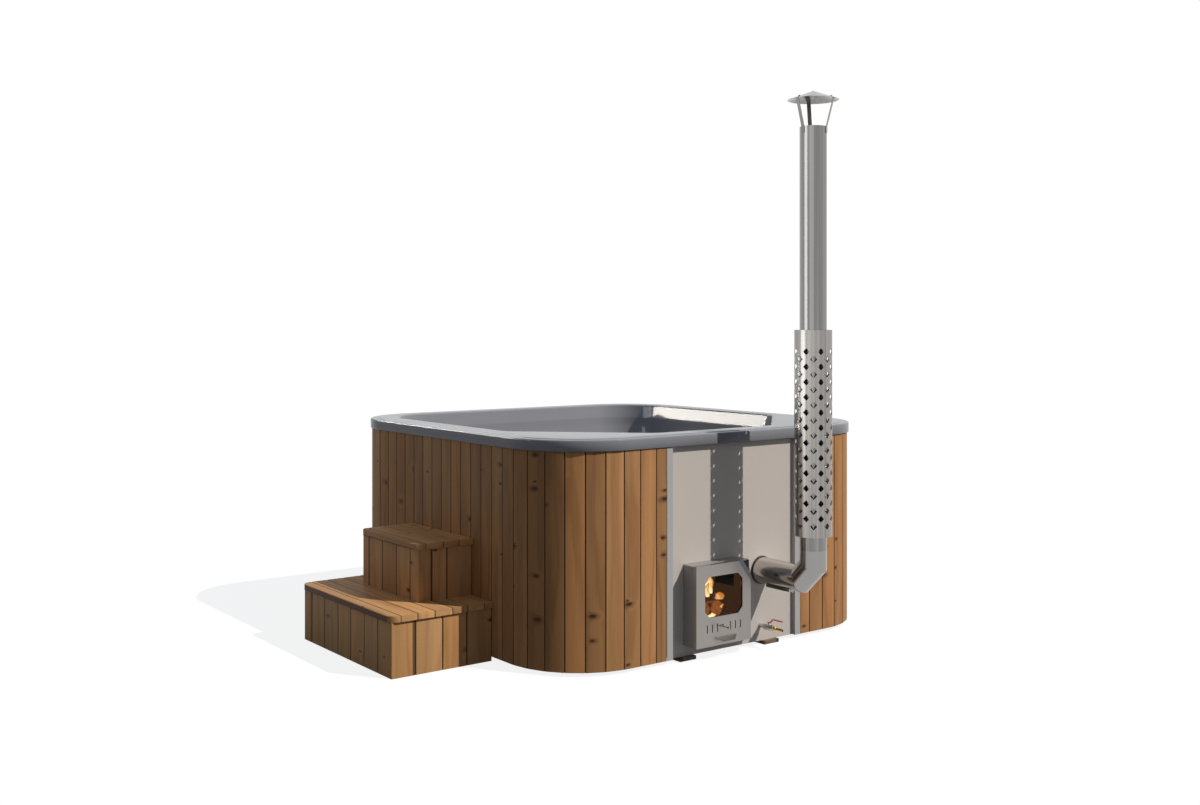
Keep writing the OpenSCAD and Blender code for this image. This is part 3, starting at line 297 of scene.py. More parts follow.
def brushed(name, color, rough, metal, axis, streak, spec=0.5, bands=0.0):
    """Sheet steel with fine brushing along one axis."""
    g = material(name)
    pos = g.place()
    line = g.noise(g.scaled(pos, stretched(axis, BRUSH_ACROSS, BRUSH_ALONG)), rough=0.6)
    cloud = g.noise(pos, 5.0)
    uneven = g.math("ADD", g.math("MULTIPLY", line, 0.6), g.math("MULTIPLY", cloud, 0.4))
    lighter = tuple(min(1.0, c) for c in tinted(color, 1 + streak))
    col = g.mix(g.remap(uneven, 0.35, 0.65), tinted(color, 1 - streak), lighter)
    if bands:
        slow = g.noise(g.scaled(pos, stretched(axis, BAND_ACROSS, BAND_ALONG)), detail=2.0)
        col = g.gain(col, g.remap(slow, 0.36, 0.64, 1.0 - bands, 1.0 + bands))
    b = g.add("BsdfPrincipled", {"Base Color": col, "Metallic": metal, "Specular IOR Level": spec,
                                 "Roughness": g.remap(line, 0.3, 0.7, rough - 0.05, rough + 0.06),
                                 "Normal": g.bump(line, 0.06, 0.0004)})
    return g.done(b.outputs[0])


def acrylic():
    """The shell's satin plastic under a thin clear gloss."""
    g = material("acrylic")
    cloud = g.remap(g.noise(g.place(), 3.0, 2.0), 0.3, 0.7)
    b = g.add("BsdfPrincipled", {"Base Color": g.mix(cloud, (0.238, 0.240, 0.262), (0.254, 0.256, 0.274)),
                                 "Roughness": 0.30, "Specular IOR Level": 0.04, "Coat Weight": 0.23,
                                 "Coat Roughness": 0.04, "Coat IOR": 1.42})
    return g.done(b.outputs[0])


def stove_glass():
    g = material("stove_glass")
    clear = g.add("BsdfTransparent", {"Color": (0.93, 0.91, 0.88, 1)})
    shine = g.add("BsdfGlossy", {"Color": (1, 1, 1, 1), "Roughness": 0.03})
    pane = g.add("MixShader", {0: 0.003, 1: clear.outputs[0], 2: shine.outputs[0]})
    return g.done(pane.outputs[0])


# Between these heights the lower logs end and the upper one begins
UPPER_LOG = (0.246, 0.254)


def burning_log():
    """Burning wood: charred bark, glowing split ends on the lower logs and a dark end on the upper one."""
    g = material("burning_log")
    pos = g.place()
    char = g.noise(g.scaled(pos, (75.0, 20.0, 75.0)), detail=4.0, rough=0.6)
    streak = g.noise(g.scaled(pos, (140.0, 20.0, 45.0)), rough=0.6, dist=0.8)
    normal = g.add("SeparateXYZ", {0: g.add("NewGeometry").outputs["Normal"]})
    end = g.math("GREATER_THAN", g.math("ABSOLUTE", normal.outputs[1]), 0.7)
    upper = g.remap(g.add("SeparateXYZ", {0: pos}).outputs[2], *UPPER_LOG)
    split = g.mix(g.remap(streak, 0.35, 0.68), (0.42, 0.125, 0.032), (0.070, 0.020, 0.006))
    dark = g.mix(g.remap(char, 0.45, 0.72), (0.014, 0.005, 0.001), (0.075, 0.024, 0.005))
    bark = g.mix(g.remap(char, 0.50, 0.75), (0.016, 0.008, 0.003), (0.30, 0.085, 0.014))
    b = g.add("BsdfPrincipled", {"Base Color": (0.022, 0.011, 0.005, 1), "Roughness": 0.85,
                                 "Specular IOR Level": 0.1, "Emission Strength": 1.0,
                                 "Emission Color": g.mix(end, bark, g.mix(upper, split, dark)),
                                 "Normal": g.bump(char, 0.8, 0.004)})
    return g.done(b.outputs[0])


# Flame colours from the hot core to the red tips
FLAME_STOPS = [(0.0, (1.0, 0.84, 0.50)), (0.35, (1.0, 0.70, 0.28)), (0.62, (0.75, 0.27, 0.06)),
               (1.0, (0.30, 0.05, 0.0))]


def burning_gas():
    """Flames: tongue_share runs from 0 in the core to 1 at the rim, where they fade out."""
    g = material("flame")
    flicker = g.noise(g.scaled(g.place(), (70.0, 70.0, 30.0)), rough=0.6, dist=0.6)
    share = g.math("ADD", g.attr("tongue_share").outputs["Fac"],
                   g.math("MULTIPLY", g.math("SUBTRACT", flicker, 0.5), 0.55))
    e = g.add("Emission", {"Color": g.ramp(share, FLAME_STOPS),
                           "Strength": g.remap(share, 0.1, 0.8, 1.35, 0.75)})
    gone = g.add("BsdfTransparent")
    fading = g.add("MixShader", {0: g.remap(share, 0.72, 0.98), 1: e.outputs[0], 2: gone.outputs[0]})
    return g.done(fading.outputs[0])


# Materials
CLAD = wood("clad_wood", (0.50, 0.250, 0.098), (0.225, 0.096, 0.034), knots=0.12, tone_spread=0.24)
STEP = wood("step_wood", (0.60, 0.325, 0.136), (0.300, 0.136, 0.048), knots=0.08, tone_spread=0.18)
RAW = wood("raw_wood", (0.62, 0.46, 0.28), (0.42, 0.28, 0.15), knots=0.10, tone_spread=0.12)
DARKWOOD = wood("skid_wood", (0.20, 0.15, 0.11), (0.10, 0.07, 0.05), knots=0.05, tone_spread=0.10)
PANEL = brushed("panel_steel", (0.520, 0.465, 0.420), rough=0.52, metal=0.0, axis=Z, streak=0.02)
DOOR = brushed("door_steel", (0.300, 0.279, 0.259), rough=0.36, metal=1.0, axis=X, streak=0.04)
# Painted reflection: a lighter bluish diffuse steel for the folded door corner, standing for the sky it
# mirrors
FOLD_PAINTED_REFLECTION = brushed("fold_painted_reflection_steel", (0.500, 0.510, 0.540), rough=0.40, metal=0.0, axis=X, streak=0.04, spec=0.2)
# Painted glint: a bright blue-white strip on the folded door corner
PAINTED_GLINT = brushed("painted_glint_steel", (0.80, 0.90, 1.00), rough=0.30, metal=0.0, axis=X, streak=0.02, spec=0.9)
PIPE = brushed("pipe_steel", (0.305, 0.298, 0.290), rough=0.20, metal=1.0, axis=Z, streak=0.03)
# Painted highlight: the pipe steel made much brighter for the flue's level run
RUN_HIGHLIGHT = brushed("flue_run_highlight_steel", (0.56, 0.535, 0.505), rough=0.16, metal=1.0, axis=Y, streak=0.03)
# Painted shade: the door steel made darker for the handle, for the shade on its face
HANDLE_SHADED = brushed("handle_shaded_steel", (0.190, 0.180, 0.168), rough=0.32, metal=1.0, axis=X, streak=0.04)
CHIMNEY = brushed("chimney_steel", (0.236, 0.230, 0.223), rough=0.13, metal=1.0, axis=Z, streak=0.05,
                  bands=0.16)
TRIM = brushed("trim_steel", (0.42, 0.415, 0.410), rough=0.50, metal=0.0, axis=Z, streak=0.02, spec=0.15)
NECK = brushed("neck_steel", (0.30, 0.285, 0.270), rough=0.45, metal=0.10, axis=Y, streak=0.05, spec=0.3)
GUARD = brushed("guard_steel", (0.300, 0.285, 0.270), rough=0.24, metal=0.95, axis=Z, streak=0.05, bands=0.20)
BLACK = plain("black_steel", (0.035, 0.033, 0.032), rough=0.6, spec=0.3)
# Soot colour with a painted warm glow, standing for the fire's light on the firebox walls, grate and water
# jacket
SOOT_FIRELIT = plain("soot_firelit_steel", (0.030, 0.018, 0.010), rough=0.85, spec=0.05, glow=(0.036, 0.016, 0.0060))
BRASS = plain("brass", (0.62, 0.45, 0.20), rough=0.28, metal=0.9)
NICKEL = plain("nickel", (0.60, 0.57, 0.53), rough=0.30, metal=0.8)
RED = plain("lever_red", (0.42, 0.03, 0.035), rough=0.38)
ROPE = plain("seal_rope", (0.10, 0.10, 0.10), rough=0.95, spec=0.1)
ACRYLIC = acrylic()
GRILLE = plain("grille_plastic", (0.10, 0.105, 0.12), rough=0.4, spec=0.3)
GLASS = stove_glass()
LOG = burning_log()
FLAME = burning_gas()

WOODEN = {
    "cladding_back": dict(mat=CLAD, along=Z), "cladding_left": dict(mat=CLAD, along=Z),
    "cladding_right": dict(mat=CLAD, along=Z),
    "lower_step_sides": dict(mat=STEP, along=Z), "upper_step_sides": dict(mat=STEP, along=Z),
    "step_treads": dict(mat=STEP, along=Y, bevel=0.0035, segments=3),
    "floor_joists": dict(mat=RAW, bevel=0.001), "wall_studs": dict(mat=RAW, bevel=0.001),
    "shell_bearers": dict(mat=RAW, bevel=0.001), "step_frames": dict(mat=RAW, bevel=0.001),
    "lower_ring": dict(mat=RAW, bevel=0.001), "middle_ring": dict(mat=RAW, bevel=0.001),
    "upper_ring": dict(mat=RAW, bevel=0.001), "base_deck": dict(mat=RAW, bevel=0.001),
    "ground_skids": dict(mat=DARKWOOD, along=Y, bevel=0.0015),
}
PAINTED = {
    "steel_panel": PANEL, "panel_trims": TRIM, "air_knob": DOOR, "liner_screws": DOOR, "door_handle": HANDLE_SHADED,
    "flue_elbow": PIPE, "cleanout_cover": PIPE, "guard_spacers": PIPE, "cleanout_screws": PIPE,
    "heater_pipes": PIPE, "hinge_pins": PIPE, "chimney_lower": CHIMNEY, "chimney_upper": CHIMNEY,
    "cap_straps": CHIMNEY, "rain_cap": CHIMNEY, "cap_rivets": CHIMNEY, "heat_guard": GUARD,
    "smoke_box": BLACK, "flue_collar": BLACK, "hinge_brackets": BLACK, "hinge_leaves": BLACK,
    "air_slide": BLACK, "ash_pan": BLACK, "door_liner": BLACK, "fire_grate": SOOT_FIRELIT, "water_jacket": SOOT_FIRELIT,
    "stove_body": SOOT_FIRELIT, "door_gasket": ROPE, "door_glass": GLASS, "outlet_tail": BRASS, "floor_drain": NICKEL,
    "drain_pipe": NICKEL, "valve_nipple": NICKEL, "valve_body": NICKEL, "valve_ball": NICKEL,
    "lever_nut": NICKEL, "valve_lever": RED, "heater_grilles": GRILLE,
}


# Pieces from the frame's own solids
GRAIN_SHIFT = 40
FLAT_ENOUGH = math.radians(0.6)
SHARP_ENOUGH = math.radians(32)


def islands(bm):
    """The vertices of each separate solid in a mesh."""
    bm.verts.ensure_lookup_table()
    seen, groups = set(), []
    for v in bm.verts:
        if v.index in seen:
            continue
        stack, part = [v], []
        seen.add(v.index)
        while stack:
            a = stack.pop()
            part.append(a)
            for e in a.link_edges:
                o = e.other_vert(a)
                if o.index not in seen:
                    seen.add(o.index)
                    stack.append(o)
        groups.append(part)
    return groups


def low_corner(part):
    return tuple(round(min(v.co[i] for v in part), 3) for i in range(3))


def across_board(flat):
    """The wider direction of a board's cross-section."""
    if len(flat) <= 2 or np.ptp(flat, axis=0).max() <= 0:
        return np.array([1.0, 0.0])
    axis = np.linalg.eigh(flat.T @ flat)[1][:, 1]
    return axis if axis[np.argmax(abs(axis))] > 0 else -axis


def mark_board(part, layers, along, rng):
    """Writes each vertex's place in its board, the board's tone and the distance from its middle."""
    grain, tone, edge = layers
    pts = np.array([v.co[:] for v in part])
    mid = (pts.min(0) + pts.max(0)) / 2
    long_axis = along if along is not None else int(np.argmax(pts.max(0) - pts.min(0)))
    rest = [i for i in range(3) if i != long_axis]
    flat = pts[:, rest] - mid[rest]
    a = across_board(flat)
    through = np.array([-a[1], a[0]])
    across = flat @ a
    centre = float(across.max() + across.min()) / 2
    wide = max(float(np.abs(across - centre).max()), 0.001)
    shift = [rng.uniform(-GRAIN_SHIFT, GRAIN_SHIFT) for _ in range(3)]
    color = (rng.random(), rng.random(), rng.random(), 1.0)
    for v, d in zip(part, flat):
        v[grain] = (float(d @ a) + shift[0], float(d @ through) + shift[1], v.co[long_axis] + shift[2])
        v[tone] = color
        v[edge] = (float(d @ a) - centre) / wide


def dress(node, mat, bevel=0.0012, segments=2, along=None):
    """A finer stand-in for a CAD node: joined vertices, small round edges, and grain and tone attributes."""
    me = NODES[node].data.copy()
    bm = bmesh.new()
    bm.from_mesh(me)
    bmesh.ops.remove_doubles(bm, verts=bm.verts, dist=SAME_PLACE)
    bmesh.ops.dissolve_limit(bm, angle_limit=FLAT_ENOUGH, verts=bm.verts, edges=bm.edges)
    kinds = bm.verts.layers
    layers = (kinds.float_vector.new("grain"), kinds.float_color.new("tone"), kinds.float.new("edge"))
    bm.verts.index_update()
    rng = random.Random(sum(ord(c) for c in node) * 7 + 1)
    for part in sorted(islands(bm), key=low_corner):
        mark_board(part, layers, along, rng)
    bm.to_mesh(me)
    bm.free()
    me.materials.clear()
    me.materials.append(mat)
    for p in me.polygons:
        p.material_index = 0
        p.use_smooth = True
    ob = show(node + "_look", me)
    m = ob.modifiers.new("edge", "BEVEL")
    m.width = bevel
    m.segments = segments
    m.limit_method = "ANGLE"
    m.angle_limit = SHARP_ENOUGH
    m.harden_normals = True
    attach(ob, BODY[node])
    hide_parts(node)


def paint(node, mat):
    me = NODES[node].data
    me.materials.clear()
    me.materials.append(mat)
    for p in me.polygons:
        p.material_index = 0


def repaint(node, mat, chosen):
    """Gives the chosen faces of a painted node a second material."""
    me = NODES[node].data
    me.materials.append(mat)
    for p in me.polygons:
        if chosen(p):
            p.material_index = 1


# Flue: its level run lies this far behind the front of the elbow's box, below this height over its foot
RUN_START = 0.117
RUN_TOP = 0.125


def paint_flue_run():
    """The level run of the flue gets a brighter, shinier copy of the pipe steel, a painted highlight for the
    sheen along its top.
    """
    lo = box_of("flue_elbow")[0]
    start, top = lo[Y] + RUN_START, lo[Z] + RUN_TOP
    repaint("flue_elbow", RUN_HIGHLIGHT, lambda p: p.center.y > start and p.center.z < top)


def paint_neck():
    """The outer faces of the stove's neck are bare steel; its inside and back keep the soot colour with its
    painted firelight glow.
    """
    lo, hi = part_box("stove_body")
    skin = 0.001

    def outer(p):
        c = p.center
        sides = (c.x - lo[X], c.x - hi[X], c.z - hi[Z], c.z - lo[Z])
        return p.normal.y < 0.5 and any(abs(s) < skin for s in sides)

    repaint("stove_body", NECK, outer)


# Door: fold lines across the casing's upper right corner, by their distance from it along the top edge
FOLDS = (0.075, 0.038, 0.024)
FOLD_NORMAL = (0.79, 0.0, 0.61)
FOLD_SLOPE = 0.30
# Only points no deeper than this behind the casing's front move with the fold
FOLD_DEPTH = 0.004


def folded_door():
    """The casing with its upper right front corner folded back, as the pressed sheet is. The folded faces get
    a lighter bluish steel as a painted reflection, and the strip between the second and third fold a painted
    glint.
    """
    me = NODES["door_casing"].data.copy()
    bm = bmesh.new()
    bm.from_mesh(me)
    bmesh.ops.remove_doubles(bm, verts=bm.verts, dist=SAME_PLACE)
    lo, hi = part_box("door_casing")
    normal = Vector(FOLD_NORMAL).normalized()
    lines = [Vector((hi[X] - back, 0.0, hi[Z])) for back in FOLDS]
    for at in lines:
        everything = bm.verts[:] + bm.edges[:] + bm.faces[:]
        bmesh.ops.bisect_plane(bm, geom=everything, plane_co=at, plane_no=normal, dist=SAME_PLACE / 2)
    for v in bm.verts:
        past = (v.co - lines[0]).dot(normal)
        if past > 0 and v.co.y < lo[Y] + FOLD_DEPTH:
            v.co.y += past * FOLD_SLOPE
    bm.normal_update()
    for f in bm.faces:
        past = [(f.calc_center_median() - at).dot(normal) for at in lines]
        f.material_index = 0
        # Folded faces get the painted reflection; the strip between the second and third fold gets the
        # painted glint
        if past[0] > 0 and f.normal.y < -0.5:
            f.material_index = 2 if past[1] > 0 > past[2] else 1
        f.smooth = False
    me.materials.clear()
    for m in (DOOR, FOLD_PAINTED_REFLECTION, PAINTED_GLINT):
        me.materials.append(m)
    bm.to_mesh(me)
    bm.free()
    ob = show("door_casing_look", me)
    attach(ob, "stove_door")
    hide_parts("door_casing")


# Moulded shell: points in each of its rings, steps in each round corner, and the rim's corner radius
RING_POINTS = 720
ARC_STEPS = 24
RIM_CORNER = 0.375
# Rim: (inset, height over its underside) of the skirt, its edge's round, and (inset, drop) of the deck
SKIRT = ((0.006, 0.0), (0.002, 0.0), (0.0, 0.002))
EDGE_RADIUS = 0.006
EDGE_DROP = 0.009
DECK = ((0.030, 0.0032), (0.036, 0.0032), (0.0375, 0.0025), (0.039, 0.001), (0.041, 0.0002), (0.044, 0.0),
        (0.070, 0.0))
LIP_RADIUS = 0.010
# Basin: long cuts across the front corners, round back corners, and (inset, drop) down its wall
FRONT_CUT = 0.480
FRONT_ROUND = 0.11
WALL_ROUND = 0.03
BACK_ROUND = 0.250
BASIN_WALL = ((0.0035, 0.030), (0.010, 0.067), (0.0108, 0.072), (0.0112, 0.078), (0.0118, 0.10),
              (0.0145, 0.14), (0.030, 0.22), (0.056, 0.33), (0.067, 0.40), (0.074, 0.42), (0.086, 0.434),
              (0.105, 0.44))
# Foot well: sheet thickness, corners, (inset, drop) from the bench and (inset, rise) over its floor
SHEET = 0.006
WELL_ROUND = 0.12
WELL_TOP = ((-0.014, 0.0), (-0.005, 0.003), (0.0, 0.012), (0.002, 0.030))
WELL_FOOT = ((0.003, 0.030), (0.010, 0.012), (0.030, 0.002), (0.060, 0.0))
# Measured along the sides, a slanting corner cut gets shorter by this share of the inset, and one round
# corner takes the place of a cut as long as this share of its radius
CUT_SHARE = 2 - math.sqrt(2)


def rounded(corners, radii):
    """A closed convex outline with each corner rounded, counter-clockwise."""
    pts = []
    n = len(corners)
    for i, r in enumerate(radii):
        p = Vector(corners[i])
        a = (Vector(corners[i - 1]) - p).normalized()
        b = (Vector(corners[(i + 1) % n]) - p).normalized()
        half = math.acos(max(-1, min(1, a.dot(b)))) / 2
        back = r / math.tan(half)
        c = p + (a + b).normalized() * (r / math.sin(half))
        s, e = p + a * back - c, p + b * back - c
        t0 = math.atan2(s.y, s.x)
        t1 = math.atan2(e.y, e.x)
        if t1 < t0:
            t1 += 2 * math.pi
        for k in range(ARC_STEPS + 1):
            t = t0 + (t1 - t0) * k / ARC_STEPS
            pts.append((c.x + r * math.cos(t), c.y + r * math.sin(t)))
    return np.array(pts)


def ring(outline, z):
    """The outline seen from the origin at even angles, at one height."""
    ang = np.mod(np.arctan2(outline[:, 1], outline[:, 0]), 2 * math.pi)
    order = np.argsort(ang)
    q, ang = outline[order], ang[order]
    q = np.vstack([q[-1:], q, q[:1]])
    ang = np.concatenate([[ang[-1] - 2 * math.pi], ang, [ang[0] + 2 * math.pi]])
    out = []
    for i in range(RING_POINTS):
        t = 2 * math.pi * i / RING_POINTS
        k = max(0, min(len(ang) - 2, int(np.searchsorted(ang, t)) - 1))
        p, e = q[k], q[k + 1] - q[k]
        d = np.array([math.cos(t), math.sin(t)])
        den = d[0] * e[1] - d[1] * e[0]
        m = np.hypot(*p) if abs(den) < 1e-12 else (p[0] * e[1] - p[1] * e[0]) / den
        out.append((d[0] * m, d[1] * m, z))
    return out


def rim_outline(half, inset):
    h = half - inset
    return rounded([(-h, -h), (h, -h), (h, h), (-h, h)], [RIM_CORNER - inset] * 4)


def basin_outline(half, inset, grow=0.0):
    h = half - inset
    f = FRONT_CUT - inset * CUT_SHARE
    near, far = FRONT_ROUND + grow, BACK_ROUND - inset
    b = far * CUT_SHARE
    # A hair less than the cut allows, so that neighbouring arcs don't meet in one point
    far *= 0.999
    return rounded([(-h + f, -h), (h - f, -h), (h, -h + f), (h, h - b), (h - b, h), (-h + b, h), (-h, h - b),
                    (-h, -h + f)], [near, near, near, far, far, far, far, near])


def well_outline(lo, hi, inset):
    x, y0, y1 = hi[X] - inset, lo[Y] + inset, hi[Y] - inset
    return rounded([(-x, y0), (x, y0), (x, y1), (-x, y1)], [WELL_ROUND] * 4)


def quarter(steps):
    """Sine and cosine at even steps over a right angle."""
    turns = [math.radians(90 * k / steps) for k in range(steps + 1)]
    return [(math.sin(a), math.cos(a)) for a in turns]


def shell_rings():
    """The shell's skin as rings, from under the rim over the deck and down to the foot well's floor."""
    lo, hi = box_of("shell_rim")
    half, top = hi[X], hi[Z]
    rings = [ring(rim_outline(half, d), lo[Z] + up) for d, up in SKIRT]
    for sine, cosine in quarter(8):
        outline = rim_outline(half, EDGE_RADIUS * (1 - cosine))
        rings.append(ring(outline, top - EDGE_DROP + EDGE_RADIUS * sine))
    rings += [ring(rim_outline(half, d), top - drop) for d, drop in DECK]
    bench = box_of("shell_bench")[1]
    for sine, cosine in quarter(6):
        rings.append(ring(basin_outline(bench[X], LIP_RADIUS * (sine - 1)), top - LIP_RADIUS * (1 - cosine)))
    rings += [ring(basin_outline(bench[X], d, WALL_ROUND), top - drop) for d, drop in BASIN_WALL]
    lo, hi = box_of("shell_well")
    rings += [ring(well_outline(lo, hi, SHEET + d), bench[Z] - drop) for d, drop in WELL_TOP]
    rings += [ring(well_outline(lo, hi, SHEET + d), lo[Z] + SHEET + rise) for d, rise in WELL_FOOT]
    return rings


def shell():
    rings = shell_rings()
    lo, hi = box_of("shell_well")
    verts = [p for r in rings for p in r]
    last, middle = len(verts) - RING_POINTS, len(verts)
    verts.append((0, (lo[Y] + hi[Y]) / 2, lo[Z] + SHEET))
    faces = []
    for start in range(0, last, RING_POINTS):
        for i in range(RING_POINTS):
            a, b = start + i, start + (i + 1) % RING_POINTS
            faces.append((a, b, b + RING_POINTS, a + RING_POINTS))
    for i in range(RING_POINTS):
        faces.append((last + i, last + (i + 1) % RING_POINTS, middle))
    me = bpy.data.meshes.new("shell")
    me.from_pydata(verts, [], faces)
    me.materials.append(ACRYLIC)
    for p in me.polygons:
        p.use_smooth = True
    ob = show("shell", me)
    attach(ob, "tub")
    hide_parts("shell_rim", "shell_wall", "shell_bench", "shell_well")


# Fire: each tongue's foot, right of, behind and above the lower left corner of the door's glass. A tongue is
# hotter where cool is low, and fades towards its rim where fade is high
TONGUES = (
    dict(right=0.063, behind=0.0352, above=0.108, wide=0.046, tall=0.078, lean=0.003, cool=-0.15, fade=0.9),
    dict(right=0.077, behind=0.0362, above=0.118, wide=0.030, tall=0.060, lean=0.004, cool=0.0, fade=1.0),
    dict(right=0.054, behind=0.0342, above=0.094, wide=0.026, tall=0.066, lean=0.002, cool=0.0, fade=0.9),
    dict(right=0.083, behind=0.0642, above=0.118, wide=0.060, tall=0.070, lean=0.008, cool=0.45, fade=0.7),
    dict(right=0.150, behind=0.0552, above=0.068, wide=0.050, tall=0.034, lean=0.0, cool=0.42, fade=0.45),
    dict(right=0.133, behind=0.0492, above=0.084, wide=0.024, tall=0.022, lean=0.0, cool=0.35, fade=0.5),
    dict(right=0.149, behind=0.0402, above=0.034, wide=0.014, tall=0.020, lean=0.0, cool=0.30, fade=0.5),
    dict(right=0.084, behind=0.0342, above=-0.001, wide=0.036, tall=0.022, lean=0.0, cool=-0.30, fade=0.9),
    dict(right=0.2735, behind=0.0402, above=0.114, wide=0.006, tall=0.042, lean=0.0, cool=0.30, fade=0.5),
)
TONGUE_ROWS = 14
TONGUE_COLUMNS = 5
TONGUE_WAVE = 0.003
# Across the look through the window from the front left
ACROSS_WINDOW = (0.82, -0.57)


def tongue(foot, wide, tall, lean, cool, fade):
    """One tapering, leaning blade, with the share of its way to the rim for each point."""
    x, y, z = foot
    verts, faces, share = [], [], []
    for j in range(TONGUE_ROWS + 1):
        t = j / TONGUE_ROWS
        width = wide * (math.sin(math.pi * min(1.0, 0.18 + 0.82 * t)) ** 0.8) * (1 - 0.25 * t)
        for i in range(TONGUE_COLUMNS + 1):
            u = i / TONGUE_COLUMNS - 0.5
            dx = u * width + lean * t * t + TONGUE_WAVE * math.sin(7 * t + x * 90)
            dy = TONGUE_WAVE * math.sin(5 * t)
            verts.append((x + dx * ACROSS_WINDOW[0], y + dx * ACROSS_WINDOW[1] + dy, z + tall * t))
            share.append(min(1.0, cool + fade * (t * 0.55 + abs(u) * 0.9)))
    step = TONGUE_COLUMNS + 1
    for j in range(TONGUE_ROWS):
        for i in range(TONGUE_COLUMNS):
            a = j * step + i
            faces.append((a, a + 1, a + step + 1, a + step))
    return verts, faces, share


def fire():
    corner = box_of("door_glass")[0]
    verts, faces, shares = [], [], []
    for t in TONGUES:
        foot = (corner[X] + t["right"], corner[Y] + t["behind"], corner[Z] + t["above"])
        v, f, s = tongue(foot, t["wide"], t["tall"], t["lean"], t["cool"], t["fade"])
        faces += [tuple(a + len(verts) for a in face) for face in f]
        verts += v
        shares += s
    me = bpy.data.meshes.new("flames")
    me.from_pydata(verts, [], faces)
    me.attributes.new("tongue_share", "FLOAT", "POINT").data.foreach_set("value", shares)
    me.materials.append(FLAME)
    for p in me.polygons:
        p.use_smooth = True
    ob = show("flames", me)
    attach(ob, "tub")


# Floor, light and camera
FLOOR_HALF = 60.0
WHITE = (1, 1, 1, 1)
AMBIENT = (0.72, 0.86, 1.06, 1)
AMBIENT_STRENGTH = 0.24
FLOOR_GLOW = 0.86
FLOOR_LIT = (0.17, 0.17, 0.17, 1)
FLOOR_DULL = (0.10, 0.10, 0.10, 1)
SUN_TRAVEL = (-0.655, 1.0, -1.10)
SUN_STRENGTH = 3.4
SUN_WIDTH_DEGREES = 0.53
SUN_COLOR = (1.0, 0.965, 0.92)
PIPES = ("chimney_lower", "chimney_upper", "heat_guard", "rain_cap", "cap_straps")
MID_TUB = (0.0, 0.0, 1.1)
LOW_TUB = (0.0, 0.0, 1.0)
MID_PIPE = (0.18, -1.28, 2.4)
SOFTBOXES = (
    dict(name="low_box", at=(-5.75, 7.45, 3.15), aim=MID_TUB, wide=3.9, tall=2.2, strength=64.0,
         color=(1.0, 0.945, 0.87), shown_in=("shell",)),
    dict(name="corner_box", at=(-9.0, 3.2, 2.8), aim=MID_TUB, wide=5.0, tall=1.8, strength=12.0,
         color=(0.93, 0.97, 1.0), shown_in=("shell",)),
    dict(name="back_box", at=(0.5, 8.5, 6.2), aim=LOW_TUB, wide=5.0, tall=2.6, strength=6.0,
         color=(0.95, 0.98, 1.0), shown_in=("shell",)),
    dict(name="pipe_box", at=(-8.28, 1.78, 2.4), aim=MID_PIPE, wide=4.2, tall=4.6, strength=2.6,
         color=(0.93, 0.97, 1.0), shown_in=PIPES),
    dict(name="soft_box", at=(-7.5, -5.9, 2.4), aim=MID_PIPE, wide=6.0, tall=4.6, strength=0.75,
         color=(1.0, 0.99, 0.97), shown_in=PIPES),
)
# The photo's camera, worked out from the tub's edges; its horizon lies above the picture's middle
EYE = (-4.0184, -5.2811, 1.4939)
YAW = -37.03
LENS = 38.70
PHOTO_WIDE_PX = 1200
HORIZON_PX = 80.47


def white_floor():
    """White to the eye and to mirrors, with the object's shadow on it; dull to plain light."""
    g = material("floor")
    glow = g.add("Emission", {"Color": WHITE, "Strength": FLOOR_GLOW})
    lit = g.add("BsdfDiffuse", {"Color": FLOOR_LIT})
    both = g.add("AddShader", {0: glow.outputs[0], 1: lit.outputs[0]})
    dull = g.add("BsdfDiffuse", {"Color": FLOOR_DULL})
    m = g.add("MixShader", {0: g.seen(), 1: dull.outputs[0], 2: both.outputs[0]})
    return g.done(m.outputs[0])


def floor():
    me = bpy.data.meshes.new("floor")
    s = FLOOR_HALF
    me.from_pydata([(-s, -s, 0), (s, -s, 0), (s, s, 0), (-s, s, 0)], [], [(0, 1, 2, 3)])
    me.materials.append(white_floor())
    ob = show("floor", me)


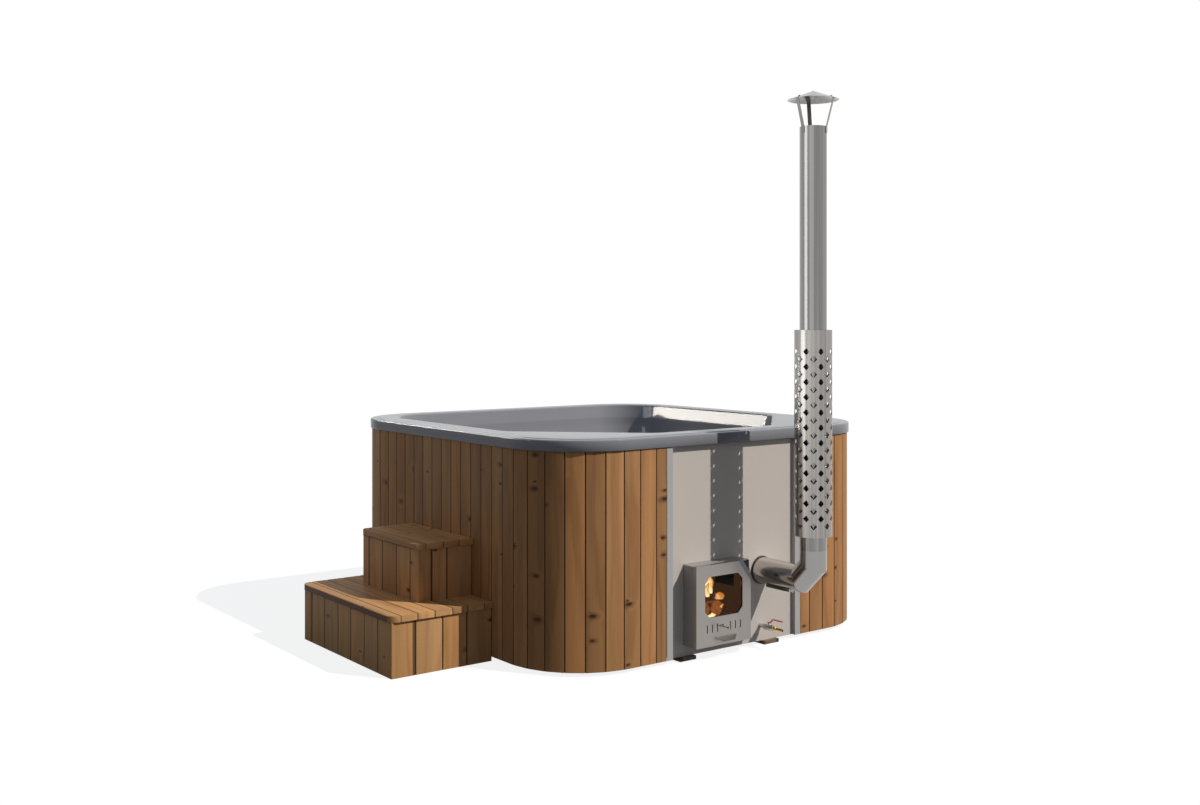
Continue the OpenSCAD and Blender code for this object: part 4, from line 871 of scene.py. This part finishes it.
def world():
    """White to the eye and to mirrors, and a soft blue sky for plain light."""
    g = Graph(bpy.data.worlds.new("sky"), "OutputWorld")
    white = g.add("Background", {0: WHITE, 1: 1.0})
    sky = g.add("Background", {0: AMBIENT, 1: AMBIENT_STRENGTH})
    both = g.add("MixShader", {0: g.seen(), 1: sky.outputs[0], 2: white.outputs[0]})
    bpy.context.scene.world = g.done(both.outputs[0])


def sun():
    d = bpy.data.lights.new("sun", "SUN")
    d.energy = SUN_STRENGTH
    d.angle = math.radians(SUN_WIDTH_DEGREES)
    d.color = SUN_COLOR
    ob = show("sun", d)
    ob.rotation_euler = Vector(SUN_TRAVEL).normalized().to_track_quat("-Z", "Y").to_euler()


def softbox(name, at, aim, wide, tall, strength, color, shown_in):
    """A soft lamp that shows only as a reflection in the named pieces; the plain light stays as it is."""
    d = bpy.data.lights.new(name, "AREA")
    d.shape = "RECTANGLE"
    d.size = wide
    d.size_y = tall
    d.energy = strength * math.pi * wide * tall
    d.color = color
    ob = show(name, d)
    ob.location = at
    ob.rotation_euler = (Vector(aim) - Vector(at)).to_track_quat("-Z", "Y").to_euler()
    ob.visible_camera = False
    ob.visible_diffuse = False
    ob.visible_transmission = False
    group = bpy.data.collections.new(name + "_shown")
    for n in shown_in:
        group.objects.link(bpy.data.objects[n] if n in bpy.data.objects else NODES[n])
    ob.light_linking.receiver_collection = group


def camera():
    c = bpy.data.cameras.new("view")
    c.sensor_fit = "HORIZONTAL"
    c.sensor_width = 36.0
    c.lens = LENS
    c.shift_y = -HORIZON_PX / PHOTO_WIDE_PX
    c.clip_end = 200
    ob = show("view", c)
    ob.location = EYE
    ob.rotation_euler = (math.radians(90), 0, math.radians(YAW))
    bpy.context.scene.camera = ob


for node, how in WOODEN.items():
    dress(node, **how)
for node, mat in PAINTED.items():
    paint(node, mat)
paint_flue_run()
paint_neck()
folded_door()
shell()
fire()
dress("firewood", LOG, bevel=0.003, along=Y)
floor()
world()
sun()
for box in SOFTBOXES:
    softbox(**box)
camera()
bpy.context.scene.view_settings.view_transform = "Standard"
